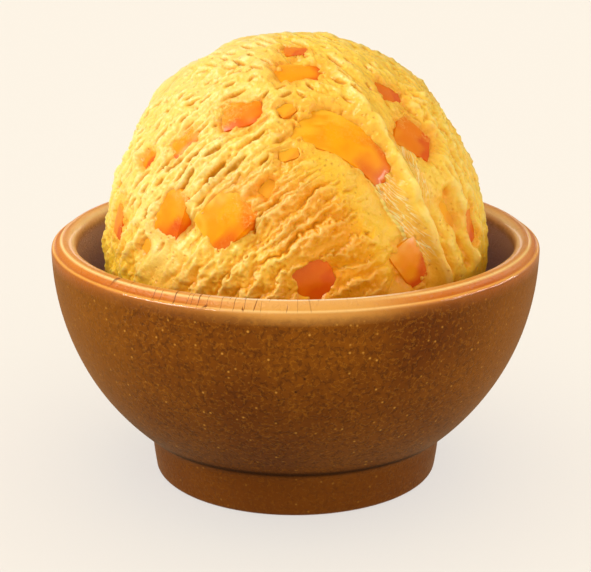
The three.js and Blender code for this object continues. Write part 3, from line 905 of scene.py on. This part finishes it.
def paintBowl(piece, points, radius, facing, wave):
    f = finishes
    height = points[:, 2]
    aside = np.abs(points[:, 0])
    azimuth = np.arctan2(points[:, 0], -points[:, 1]) / degrees
    drip = f["drip"] * wave + f["sideDrip"] * smoothStep(0.8, 1.0, aside / bowl["radius"])
    lip = height + drip - bowl["lipHeight"]
    depth = height + 0.3 * wave - bowl["lipHeight"]
    inward = (radius < bowl["reach"] + 1.2) & (height > bowl["recess"] + 2) & ((facing < 0) | (radius < 12))
    rimAcross = (radius + 0.08 * wave - bowl["reach"]) / (2 * bowl["lipRadius"])  # 0 inside, 1 outside
    crazed = smoothStep(*f["crazed"], np.abs(azimuth - f["crazedAt"]))
    crazed = f["crazedLeast"] + (1 - f["crazedLeast"]) * crazed
    crease = np.exp(-((height - f["crease"]) / f["creaseWidth"]) ** 2)
    paint(piece, "lip", smoothStep(*f["lip"], lip))
    paint(piece, "inside", inward * smoothStep(*f["inside"], depth))
    paint(piece, "crazed", crazed * smoothStep(*f["crazedEdge"], rimAcross))
    # painted light: a lighter gold on the bowl's left and right sides, as the camera sees them
    paint(piece, "sides", smoothStep(*f["sides"], aside) * smoothStep(*f["sideLightUp"], height))
    paint(piece, "rimAcross", rimAcross)
    # painted shade: the rim's outer edge is darker on the bowl's left and right sides
    paint(piece, "sideEdgeShadeMask", smoothStep(*f["sideEdgeShadeMask"], np.abs(azimuth)) * smoothStep(*f["duskyEdge"], rimAcross))
    paint(piece, "trough", np.exp(-((rimAcross - f["trough"]) / f["troughWidth"]) ** 2))
    # painted light and shade: the rim takes its front shades near the front and its side shades round the
    # rest
    paint(piece, "rimSides", smoothStep(*f["rimSides"], np.abs(azimuth - f["frontAt"])))
    # painted shade: a dark line along the crease between the body and the foot
    paint(piece, "crease", crease * (radius > 25) * (radius < 32))


rimTonesAndHighlights = {  # across the rim from its inner edge to its outer side, at the front and round the rest; the pale lines are painted highlights, and the lighter front and darker side trough are painted light and shade
    "front": [
        (0.06, (232, 200, 170)), (0.14, (255, 250, 228)), (0.46, (255, 250, 228)), (0.53, (232, 180, 112)),
        (0.66, (226, 168, 92)), (0.82, (222, 164, 82)), (0.92, (246, 212, 148)), (0.99, (204, 140, 58)),
    ],
    "sides": [
        (0.03, (226, 190, 168)), (0.1, (254, 232, 200)), (0.24, (240, 196, 130)), (0.38, (218, 148, 62)),
        (0.52, (214, 138, 46)), (0.6, (255, 226, 156)), (0.67, (210, 118, 4)), (0.83, (192, 96, 0)),
        (0.91, (246, 184, 84)), (0.96, (212, 126, 24)), (0.99, (152, 80, 4)),
    ],
}
glazeLook = {
    "brown": (104, 52, 2), "amber": (134, 76, 4), "grain": (96, 50, 4), "darkHair": (62, 30, 4),
    "lightHair": (190, 124, 24), "fleck": (228, 166, 66), "spot": (46, 22, 4), "low": (52, 22, 1),
    "foot": (132, 72, 6), "paintedSideLight": (150, 92, 8), "crease": (34, 14, 2), "inside": (184, 160, 194),
    "pool": (246, 200, 116), "sideEdgeShade": (172, 92, 4), "crack": (122, 62, 16), "border": (112, 54, 4),
    "paintedShadeUpTo": (0.006, 0.038, 0.52, 0.0), "footUpTo": (0.012, 0.008, 0.0, 0.35),  # heights and shares there; the first makes painted shade, darker towards the bottom
    "roughness": 0.42, "gloss": 0.07, "coat": 0.35, "coatRoughness": 0.07, "bareTrough": 0.85,
    "bump": 0.00010, "bumpStrength": 0.5,
}


def rimRamp(tree, rimAcross, shades):
    ramp = newNode(tree, "ValToRGB", (100, 800))
    tree.links.new(rimAcross, ramp.inputs["Fac"])
    stops = ramp.color_ramp.elements
    for spot, shade in shades:
        stops.new(spot).color = colour(*shade)
    stops.remove(stops[0])  # the two that a new ramp comes with
    stops.remove(stops[-1])
    return ramp.outputs["Color"]


def glazeMaterial():
    material, tree, shader, place = newMaterial("amberGlaze")
    link = tree.links.new
    look = glazeLook
    names = ("lip", "inside", "crease", "crazed", "sides", "rimAcross", "rimSides", "sideEdgeShadeMask", "trough")
    masks = {name: readPaint(tree, name, (-1700, 500 - 150 * row)) for row, name in enumerate(names)}
    broad = placeGroup(tree, mottle, (-1400, 500), Scale=42.0, Detail=2.0, Low=0.3, High=0.7)
    fine = placeGroup(tree, mottle, (-1400, 300), Scale=700.0, Detail=3.0, Low=0.3, High=0.7)
    darkHairs = placeGroup(tree, crinkles, (-1400, 100), Scale=640.0, Width=0.16, Warp=1.2, Share=0.5)
    lightHairs = placeGroup(tree, crinkles, (-1400, -100), Scale=820.0, Width=0.15, Warp=1.4, Share=0.46)
    light = placeGroup(tree, specks, (-1400, -300), Scale=900.0, Size=0.3, Share=0.12)
    dark = placeGroup(tree, specks, (-1400, -500), Scale=700.0, Size=0.28, Share=0.1)
    for made in (broad, fine, darkHairs, lightHairs, light, dark):
        link(place, made.inputs["Vector"])
    crazing = placeGroup(tree, crinkles, (-1400, -700), Scale=1.0, Width=0.035, Warp=0.08, Share=0.5)
    link(newNode(tree, "UVMap", (-1700, -1000), uv_map="rimMap").outputs["UV"], crazing.inputs["Vector"])
    split = newNode(tree, "SeparateXYZ", (-1400, -900))
    link(place, split.inputs[0])
    # painted shade: the glaze is painted darker towards the bottom of the bowl
    low = ramped(tree, (-1200, -900), split.outputs["Z"], *look["paintedShadeUpTo"], smooth=False)
    foot = ramped(tree, (-1200, -1100), split.outputs["Z"], *look["footUpTo"], smooth=False)
    body = mixColours(tree, (-950, 300), broad.outputs[0], colour(*look["brown"]), colour(*look["amber"]))
    body = paintOver(tree, body, [
        (fine.outputs[0], 0.4, look["grain"]),
        (darkHairs.outputs[0], 0.45, look["darkHair"]),
        (lightHairs.outputs[0], 0.26, look["lightHair"]),
        (light.outputs[0], 0.8, look["fleck"]),
        (dark.outputs[0], 1, look["spot"]),
        # painted shade, darker towards the bottom
        (low, 1, look["low"]),
        (foot, 1, look["foot"]),
        # painted light, a lighter gold on the left and right sides
        (masks["sides"], 0.55, look["paintedSideLight"]),
        # painted shade along the crease above the foot
        (masks["crease"], 1, look["crease"]),
        (masks["inside"], 1, look["inside"]),
    ])
    # the rim's shades hold painted highlights along its inner edge and ridges
    frontRim, sideRim = (rimRamp(tree, masks["rimAcross"], rimTonesAndHighlights[part]) for part in ("front", "sides"))
    rim = mixColours(tree, (250, 550), masks["rimSides"], frontRim, sideRim)
    rim = paintOver(tree, rim, [
        (broad.outputs[0], 0.2, look["pool"]),
        # painted shade on the rim's outer edge at the sides
        (masks["sideEdgeShadeMask"], 0.85, look["sideEdgeShade"]),
        (mathNode(tree, (-950, 600), "MULTIPLY", crazing.outputs[0], masks["crazed"]), 1, look["crack"]),
    ])
    outside = mathNode(tree, (300, 50), "SUBTRACT", 1.0, masks["inside"])
    glazed = mathNode(tree, (500, 100), "MULTIPLY", masks["lip"], outside)
    body = mixColours(tree, (700, 400), glazed, body, rim)
    unglazed = mathNode(tree, (300, 750), "SUBTRACT", 1.0, glazed)
    border = mathNode(tree, (500, 750), "MULTIPLY", glazed, unglazed)  # darker where the rim's glaze ends
    border = mathNode(tree, (600, 750), "MULTIPLY", border, fine.outputs[0])
    body = paintOver(tree, body, [(border, 0.9, look["border"])])
    link(body, shader.inputs["Base Color"])
    bare = scaled(tree, (350, -50), masks["trough"], look["bareTrough"])
    coated = mathNode(tree, (500, -50), "SUBTRACT", 1.0, bare)
    coat = mathNode(tree, (600, 0), "MULTIPLY", scaled(tree, (500, 0), glazed, look["coat"]), coated)
    link(coat, shader.inputs["Coat Weight"])
    setInputs(shader, Roughness=look["roughness"], Coat_Roughness=look["coatRoughness"],
              Specular_IOR_Level=look["gloss"])
    height = mathNode(tree, (-300, -200), "SUBTRACT", lightHairs.outputs[0], darkHairs.outputs[0])
    addBump(tree, shader, (500, -300), height, look["bump"], look["bumpStrength"])
    return material


glaze = glazeMaterial()
bowlPiece = makeBowl()
bowlPiece.data.materials.append(glaze)
bpy.data.collections["glossOnly"].objects.link(bowlPiece)
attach(bowlPiece, "root")
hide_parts("bowl")
print("bowl made:", len(bowlPiece.data.polygons), "faces")


# the fruit

def seededDraws(seed):  # the same draws from 0 to 1 on every run
    state = seed

    def draw():
        nonlocal state
        state = (state * 1664525 + 1013904223) % 4294967296
        return state / 4294967296
    return draw


chunkRoundness = 0.36  # how far a piece is worn from a box towards a ball
chunkFaceCut = 1.3  # and how far its outer face is cut back flat again


def faceDrop(local, chunk):  # the scraper cut the pieces flush with the scoop, so they curve with it
    return (local[:, 0] ** 2 + local[:, 1] ** 2) / (2 * chunk.get("bend", scoop["radius"]))


def chunkForm(points, chunk, index):  # from a cube two wide to a soft, uneven chunk, in millimetres
    draw = seededDraws(97 + 31 * index)
    corners = [0.84 + 0.16 * draw() for _ in range(8)]
    chunk["narrowing"] = chunk.get("taper", 0.1 + 0.16 * draw())
    push = np.zeros(len(points))
    for c in range(8):
        share = np.ones(len(points))
        for axis in range(3):
            share *= 1 + points[:, axis] * (1 if c >> axis & 1 else -1)
        push += corners[c] * share / 8
    ball = points / np.linalg.norm(points, axis=1, keepdims=True) * 1.22
    soft = (points * (1 - chunkRoundness) + ball * chunkRoundness) * push[:, None]
    soft[:, 1] *= 1 - chunk["narrowing"] * soft[:, 0]
    soft[:, 2] = np.minimum(soft[:, 2] * chunkFaceCut, 1)
    bowed = chunk.get("bow", 0) * (0.5 - soft[:, 0] ** 2)
    soft *= np.array(chunk["half"])
    soft[:, 1] += bowed
    soft[:, 2] -= faceDrop(soft, chunk)
    return soft


def chunkAxes(chunk):
    level, uphill, outward = tangents(directionAt(*chunk["at"]))
    turn = chunk["turn"] * degrees
    along = level * math.cos(turn) + uphill * math.sin(turn)
    return np.array([along, np.cross(outward, along), outward])


def faceAway(points, middle):
    away = points - middle
    return away / np.linalg.norm(away, axis=1, keepdims=True)


def makeChunk(chunk, index):
    deselectAll()
    bpy.ops.mesh.primitive_cube_add(size=2)
    piece = bpy.context.object
    piece.name = "mango_" + chunk["name"]
    bpy.ops.object.mode_set(mode="EDIT")
    bpy.ops.mesh.select_all(action="SELECT")
    bpy.ops.mesh.subdivide(number_cuts=11)
    bpy.ops.object.mode_set(mode="OBJECT")
    axes = chunkAxes(chunk)
    placed = chunkForm(readPoints(piece), chunk, index) @ axes
    low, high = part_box("fruit_" + chunk["name"])
    node = (np.array(low) + np.array(high)) / 2 / mm
    middle = node - (placed.min(0) + placed.max(0)) / 2
    chunk["middle"] = middle - np.array([0, 0, scoop["level"]])
    chunk["axes"] = axes
    placed = placed + middle
    uneven = 0.07 * blotches(placed, 1.5, 3) + 0.13 * blotches(placed, 4.2, 6)
    placed += faceAway(placed, middle) * uneven[:, None]
    writePoints(piece, placed * mm)
    shadeSmooth(piece, 40)
    return piece


fruitLook = {
    "light": (255, 178, 4), "deep": (222, 88, 0), "patch": (244, 132, 2), "veil": (250, 190, 84),
    "crack": (255, 214, 130), "foam": (255, 206, 96), "smear": (254, 204, 60),
    "bump": 0.00018, "bumpStrength": 0.6,
}


def fruitMaterial():
    material, tree, shader, place = newMaterial("mangoFlesh")
    link = tree.links.new
    look = fruitLook
    deep, frost, smeared = (readPaint(tree, name, (-1500, 400 - 150 * row))
                            for row, name in enumerate(("deep", "frost", "smeared")))
    patches = placeGroup(tree, mottle, (-1200, 300), Scale=260.0, Detail=2.0, Low=0.3, High=0.7)
    fibres = placeGroup(tree, mottle, (-1200, 50), Scale=1500.0, Detail=3.0, Low=0.42, High=0.6)
    bubbles = placeGroup(tree, specks, (-1200, -200), Scale=1600.0, Size=0.34, Share=0.5)
    crazing = placeGroup(tree, crinkles, (-1200, -450), Scale=1100.0, Width=0.09, Warp=1.1, Share=0.52)
    for made in (patches, fibres, bubbles, crazing):
        link(place, made.inputs["Vector"])
    foam = mathNode(tree, (-950, -350), "MULTIPLY", frost, bubbles.outputs[0])
    # painted shade: the deep mask darkens the orange on the side away from the light
    flesh = mixColours(tree, (-950, 300), deep, colour(*look["light"]), colour(*look["deep"]))
    flesh = paintOver(tree, flesh, [
        (patches.outputs[0], 0.4, look["patch"]),
        (mathNode(tree, (-950, -50), "MULTIPLY", frost, fibres.outputs[0]), 0.4, look["veil"]),
        (mathNode(tree, (-950, -200), "MULTIPLY", frost, crazing.outputs[0]), 0.4, look["crack"]),
        (foam, 0.45, look["foam"]),
        (smeared, 1, look["smear"]),
    ])
    link(flesh, shader.inputs["Base Color"])
    setInputs(shader, Roughness=0.3, Specular_IOR_Level=0.2, Coat_Weight=0.16, Coat_Roughness=0.2)
    setInputs(shader, Subsurface_Weight=0.3, Subsurface_Radius=(1.0, 0.5, 0.12), Subsurface_Scale=0.0010)
    addBump(tree, shader, (400, -300), foam, look["bump"], look["bumpStrength"])
    return material


# how deep the orange is, partly the piece's own colour and partly painted shade for pieces that lie in shade,
# how frosted the face is, and frosted on the right 1 or on the left -1
chunkLooks = {
    "top": (0.8, 0.2, 1), "crown": (0.3, 0.2, -1), "high_left": (0.6, 1.0, -1),
    "small_left": (0.4, 1.0, -1), "edge_left": (0.5, 0.4, -1), "lens_left": (0.35, 0.6, 1),
    "low_left": (0.6, 0.2, 1), "crumb_left": (0.6, 0.1, 1), "big_left": (0.1, 0.7, 1),
    "sliver": (0.3, 0.1, 1), "seam_crumb": (0.3, 0.2, 1), "fleck": (0.4, 0.3, -1),
    "great": (0.12, 0.6, 1), "high_right": (0.9, 0.3, 1), "frosted": (0.75, 1.0, 1),
    "groove_sliver": (0.4, 0.2, 1), "front": (1.0, 0.05, -1), "low_right": (0.4, 0.2, 1),
    "edge_right": (0.7, 0.5, -1), "side_right": (0.5, 0.4, 1), "back_right": (0.4, 0.3, 1),
    "back_high": (0.3, 0.5, -1), "back": (0.3, 0.5, 1), "back_left": (0.6, 0.6, -1),
    "side_back": (0.5, 0.2, 1), "side_left": (0.35, 0.5, 1),
}


def paintChunk(piece, chunk, index):  # painted shade, deeper orange on the side that the light leaves and low on its flanks; frosted on the other
    points = readPoints(piece) / mm - np.array([0, 0, scoop["level"]]) - chunk["middle"]
    local = points @ chunk["axes"].T / np.array(chunk["half"])
    depth, frosting, side = chunkLooks[chunk["name"]]
    level, uphill, outward = tangents(directionAt(*chunk["at"]))
    away = points @ (0.8 * level - 0.6 * uphill) / max(chunk["half"])
    frosty = points @ (0.7 * side * level + 0.6 * uphill) / max(chunk["half"])
    cloud = blotches(points, 2.6, 5 + index)
    shaded = 0.7 * smoothStep(0.75, 0.1, local[:, 2]) + 0.9 * smoothStep(0.1, 0.7, away + 0.35 * cloud)
    paint(piece, "deep", np.clip(depth + shaded - 0.15, 0, 1))
    paint(piece, "frost", frosting * smoothStep(-0.1, 0.7, frosty + 0.5 * cloud))
    edge = np.maximum(np.abs(local[:, 0]), np.abs(local[:, 1])) + 0.25 * blotches(points, 1.4, 40 + index)
    smeared = smoothStep(0.62, 0.95, edge) * smoothStep(0.1, -0.4, away)
    smeared *= 0.85 * (1 - depth) * min(1, chunk["half"][1] / 4)
    thin = 0.5 if chunk["half"][1] <= 1.3 else 0  # the smallest ones only shine through
    paint(piece, "smeared", np.maximum(thin, smeared))


flesh = fruitMaterial()
for index, chunk in enumerate(fruitPieces):
    piece = makeChunk(chunk, index)
    paintChunk(piece, chunk, index)
    piece.data.materials.append(flesh)
    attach(piece, "root")
    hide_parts("fruit_" + chunk["name"])
print("fruit made:", len(fruitPieces), "chunks")


# the ice cream

def crowded(directions):  # more of the faces where the scoop shows
    share = np.clip((1 - directions[:, 2]) / 2, 0, 1)
    z = 1 - 2 * (scoop["crowding"] * share + (1 - scoop["crowding"]) * share ** scoop["crowdingFall"])
    girth = np.sqrt(np.maximum(0, 1 - z * z))
    azimuth = np.arctan2(directions[:, 0], -directions[:, 1])
    turned = azimuth - scoop["frontCrowding"] * np.sin(azimuth)
    return np.stack([girth * np.sin(turned), -girth * np.cos(turned), z], -1)


lap = {"nibble": 0.75, "under": 0.35, "squareness": 4, "fill": 0.92, "start": 1.06, "end": 0.94,
       "level": 0.75, "over": 0.3, "brim": 0.5, "stainAndNotchShade": 1.1}


def sinkChunks(points, relief):  # the ice cream meets the fruit at its face, and its torn edge laps over it
    nibble = blotches(points, 1.9, 21, 2)
    stainAndNotchShade = np.zeros(len(points))
    for chunk in fruitPieces:
        near = np.linalg.norm(points - chunk["middle"], axis=1) < 2.2 * max(chunk["half"])
        spots = np.flatnonzero(near)
        if not len(spots):
            continue
        local = (points[spots] - chunk["middle"]) @ chunk["axes"].T
        x = local[:, 0] / chunk["half"][0]
        y = local[:, 1] - chunk.get("bow", 0) * (0.5 - np.clip(x, -1, 1) ** 2)
        y = y / chunk["half"][1] / (1 - chunk["narrowing"] * np.clip(x, -1, 1))
        square = lap["squareness"]
        reach = (np.abs(x) ** square + np.abs(y) ** square) ** (1 / square) / chunk.get("fill", lap["fill"])
        size = min(chunk["half"][0], chunk["half"][1])
        reach += lap["nibble"] * nibble[spots] / max(2.0, size)
        face = chunk["half"][2] - faceDrop(local, chunk) - local[:, 2]
        shown = np.zeros(len(spots))
        if "notch" in chunk:
            right, uphill, depth = chunk["notch"]
            level, up, outward = tangents(directionAt(*chunk["at"]))
            beside = smoothScoop(directionAt(*chunk["at"])) + right * level + uphill * up
            shown = np.exp(-((np.linalg.norm(points[spots] - beside, axis=1) / notchReach) ** 2))
        brim = lap["level"] * (1 - shown) * smoothStep(1 + lap["brim"], 1.0, reach)
        eased = relief[spots] + brim * np.clip(face + lap["over"] - relief[spots], -1.2, 1.2)
        sunk = smoothStep(lap["start"], lap["end"], reach)
        relief[spots] = eased + sunk * (np.minimum(eased, face - lap["under"]) - eased)
        distance = np.maximum(0, reach - 1) * size
        # an orange stain round each piece, stronger in its notch as painted shade
        stainAndNotchShade[spots] = np.maximum(stainAndNotchShade[spots], np.exp(-(distance / lap["stainAndNotchShade"]) ** 2) * (0.6 + 0.4 * shown))
    return relief, stainAndNotchShade


film = {"across": 0.6, "along": 6.0, "leans": (-0.4, 0.2)}  # the web's meshes, and their slants


def filmPlace(points, outward, seam):  # the two glossy bands that the scraper drew out, from 0 to 1
    beside, side, along = besideRoute(points, outward, folds[1]["route"])
    beside = beside * side
    low = smoothStep(0.1, 0.5, seam) * smoothStep(5.0, 3.8, seam) * smoothStep(-0.2, -0.9, beside)
    low *= smoothStep(0.34, 0.42, along) * smoothStep(0.86, 0.74, along)
    high = smoothStep(0.4, 1.2, beside) * smoothStep(4.8, 3.4, beside)
    high *= smoothStep(0.3, 0.4, along) * smoothStep(0.68, 0.56, along)
    run = np.linalg.norm(np.diff(folds[1]["route"], axis=0), axis=1).sum() * along
    lean = np.where(beside < 0, film["leans"][0], film["leans"][1])
    return np.maximum(low * (seam > 0), high), (beside + lean * run) / film["across"], run / film["along"]


def makeBall():  # a ball of fine triangles, finest where the scoop shows
    deselectAll()
    bpy.ops.mesh.primitive_ico_sphere_add(subdivisions=scoop["sphereSteps"], radius=1)
    piece = bpy.context.object
    piece.name = "mangoIceCream"
    writePoints(piece, crowded(readPoints(piece)))
    bpy.ops.object.mode_set(mode="EDIT")
    bpy.ops.mesh.select_all(action="SELECT")
    bpy.ops.mesh.subdivide(number_cuts=1)
    bpy.ops.mesh.select_all(action="DESELECT")
    bpy.ops.object.mode_set(mode="OBJECT")
    lowest, rearmost = scoop["finer"]
    for face in piece.data.polygons:
        face.select = face.center.z > lowest and face.center.y < rearmost
    bpy.ops.object.mode_set(mode="EDIT")
    bpy.ops.mesh.subdivide(number_cuts=1)
    bpy.ops.object.mode_set(mode="OBJECT")
    return piece


smoothings = 24  # a hollow or a crest is measured from the relief smoothed this often


def valleys(piece, relief):  # above 0 in a hollow and below 0 on a crest, in millimetres
    edges = np.empty(len(piece.data.edges) * 2, dtype=np.int64)
    piece.data.edges.foreach_get("vertices", edges)
    a, b = edges.reshape(-1, 2).T
    count = np.bincount(a, minlength=len(relief)) + np.bincount(b, minlength=len(relief))
    blurred = relief.copy()
    for _ in range(smoothings):
        total = np.bincount(a, blurred[b], len(relief)) + np.bincount(b, blurred[a], len(relief))
        blurred = 0.5 * blurred + 0.5 * total / count
    return blurred - relief


def paintIceCream(piece, directions, torn, seam):
    x, z = directions[:, 0], directions[:, 2]
    # painted light: paler on the upper left, where the key light falls, and a little paler from just left of
    # the seam rightwards
    paintedLight = (1 - 0.6 * torn) * smoothStep(0.35, -0.5, x) * smoothStep(-0.1, 0.25, z)
    paintedLightRight = 0.3 * smoothStep(-7, 0, seam) * smoothStep(-0.15, 0.35, z)
    paint(piece, "paintedLight", np.maximum(paintedLight, paintedLightRight))
    # painted shade: a darker orange on the block left of the seam and low down near the bowl
    beside = smoothStep(26, 15, -seam) * (0.25 + 0.75 * smoothStep(4, 9, -seam)) * (seam < 0)
    low = smoothStep(0.3, -0.08, z) * smoothStep(0.95, 0.55, np.abs(x))
    paint(piece, "paintedShadeLowAndBeside", np.maximum(beside * smoothStep(0.62, 0.45, z), low))


def makeIceCream():
    piece = makeBall()
    directions = readPoints(piece)
    directions /= np.linalg.norm(directions, axis=1, keepdims=True)
    base = smoothScoop(directions)
    outward = faceDirection(directions)
    relief, torn, cut, seam = scoopRelief(directions)
    valley = valleys(piece, relief)
    relief, stainAndNotchShade = sinkChunks(base, relief)
    placed = base + outward * relief[:, None]
    placed[:, 2] += scoop["level"]
    lowest = innerHeight(np.hypot(placed[:, 0], placed[:, 1])) + scoop["footGap"]
    placed[:, 2] = np.maximum(placed[:, 2], lowest)
    writePoints(piece, placed * mm)

    # the relief's hollows and crests, which the material paints with shade and highlights
    paint(piece, "valley", valley * (1 - stainAndNotchShade))
    paint(piece, "stainAndNotchShade", stainAndNotchShade)
    # painted shade inside the slits
    paint(piece, "cut", smoothStep(0.15, 0.8, cut) * (1 - stainAndNotchShade))
    paintIceCream(piece, directions, torn, seam)
    for name, values in zip(("film", "filmAcross", "filmAlong"), filmPlace(base, outward, seam)):
        paint(piece, name, values)
    shadeSmooth(piece)
    return piece


creamLook = {
    "cream": (255, 212, 54), "cloud": (253, 202, 38), "paintedShadeOrange": (238, 150, 0), "paintedLight": (255, 236, 150),
    "hollow": (238, 166, 6), "deepest": (196, 128, 10), "crestHighlight": (255, 242, 170), "slit": (206, 146, 14),
    "stainAndNotchShade": (246, 158, 22), "pitShade": (216, 146, 14), "fleck": (140, 104, 24), "film": (240, 190, 88),
    "web": (255, 246, 196), "roughness": (0.36, 0.18), "gloss": 0.27,  # rough outside the film and in it
    "bump": 0.00026, "bumpStrength": 0.6,
}


def iceCreamMaterial():
    material, tree, shader, place = newMaterial("mangoIceCream")
    link = tree.links.new
    look = creamLook
    names = ("valley", "paintedLight", "paintedShadeLowAndBeside", "cut", "stainAndNotchShade", "film", "filmAcross", "filmAlong")
    masks = {name: readPaint(tree, name, (-1600, 500 - 150 * row)) for row, name in enumerate(names)}
    clouds = placeGroup(tree, mottle, (-1200, 300), Scale=90.0, Detail=2.0, Low=0.3, High=0.7)
    grain = placeGroup(tree, mottle, (-1200, 50), Scale=1900.0, Detail=3.0, Low=0.3, High=0.7)
    pits = placeGroup(tree, specks, (-1200, -200), Scale=1000.0, Size=0.36, Share=0.4)
    flecks = placeGroup(tree, specks, (-1200, -450), Scale=560.0, Size=0.13, Share=0.12)
    for made in (clouds, grain, pits, flecks):
        link(place, made.inputs["Vector"])
    drawn = newNode(tree, "CombineXYZ", (-1400, -650))  # so that the web is drawn out along the film
    link(masks["filmAcross"], drawn.inputs["X"])
    link(masks["filmAlong"], drawn.inputs["Y"])
    web = placeGroup(tree, crinkles, (-1200, -650), Scale=1.0, Width=0.1, Warp=0.3, Share=0.62)
    link(drawn.outputs[0], web.inputs["Vector"])
    # painted shade in the hollows, darkest in the deepest, and painted highlight on the crests
    hollow = ramped(tree, (-1200, 550), masks["valley"], -0.03, 0.38)
    deepest = ramped(tree, (-1200, 750), masks["valley"], 0.3, 0.8)
    crestHighlight = ramped(tree, (-1200, 950), masks["valley"], -0.02, -0.3)
    light = mathNode(tree, (-1100, 1100), "ADD", scaled(tree, (-1200, 1100), masks["paintedLight"], 0.75), 0.18)
    cream = mixColours(tree, (-950, 300), clouds.outputs[0], colour(*look["cream"]), colour(*look["cloud"]))
    cream = paintOver(tree, cream, [
        (masks["paintedShadeLowAndBeside"], 0.7, look["paintedShadeOrange"]),  # painted shade, a darker orange low down and on the block left of the seam
        # painted light, paler on the upper left
        (masks["paintedLight"], 0.85, look["paintedLight"]),
        # painted shade in the hollows
        (hollow, 0.7, look["hollow"]),
        (deepest, 0.6, look["deepest"]),
        # painted highlight on the crests, stronger on the upper left
        (mathNode(tree, (-1000, 950), "MULTIPLY", crestHighlight, light), 1, look["crestHighlight"]),
        # painted shade inside the slits
        (masks["cut"], 0.6, look["slit"]),
        # an orange stain round the fruit, with painted shade in the notches
        (masks["stainAndNotchShade"], 0.75, look["stainAndNotchShade"]),
        # painted shade in the small pits
        (pits.outputs[0], 0.55, look["pitShade"]),
        (flecks.outputs[0], 0.55, look["fleck"]),
        (masks["film"], 0.5, look["film"]),
        (mathNode(tree, (-950, -650), "MULTIPLY", masks["film"], web.outputs[0]), 0.85, look["web"]),
    ])
    link(cream, shader.inputs["Base Color"])
    rough = ramped(tree, (400, 0), masks["film"], 0.0, 1.0, *look["roughness"], smooth=False)
    link(rough, shader.inputs["Roughness"])
    setInputs(shader, Subsurface_Weight=0.5, Subsurface_Radius=(1.0, 0.6, 0.22), Subsurface_Scale=0.0008,
              Specular_IOR_Level=look["gloss"])
    rise = scaled(tree, (-500, -200), grain.outputs[0], 0.35)
    pitted = mathNode(tree, (-300, -200), "SUBTRACT", rise, pits.outputs[0])
    addBump(tree, shader, (400, -300), pitted, look["bump"], look["bumpStrength"])
    return material


icePiece = makeIceCream()
icePiece.data.materials.append(iceCreamMaterial())
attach(icePiece, "root")
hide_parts("ice_cream")
print("ice cream made:", sum(len(face.vertices) - 2 for face in icePiece.data.polygons), "triangles")
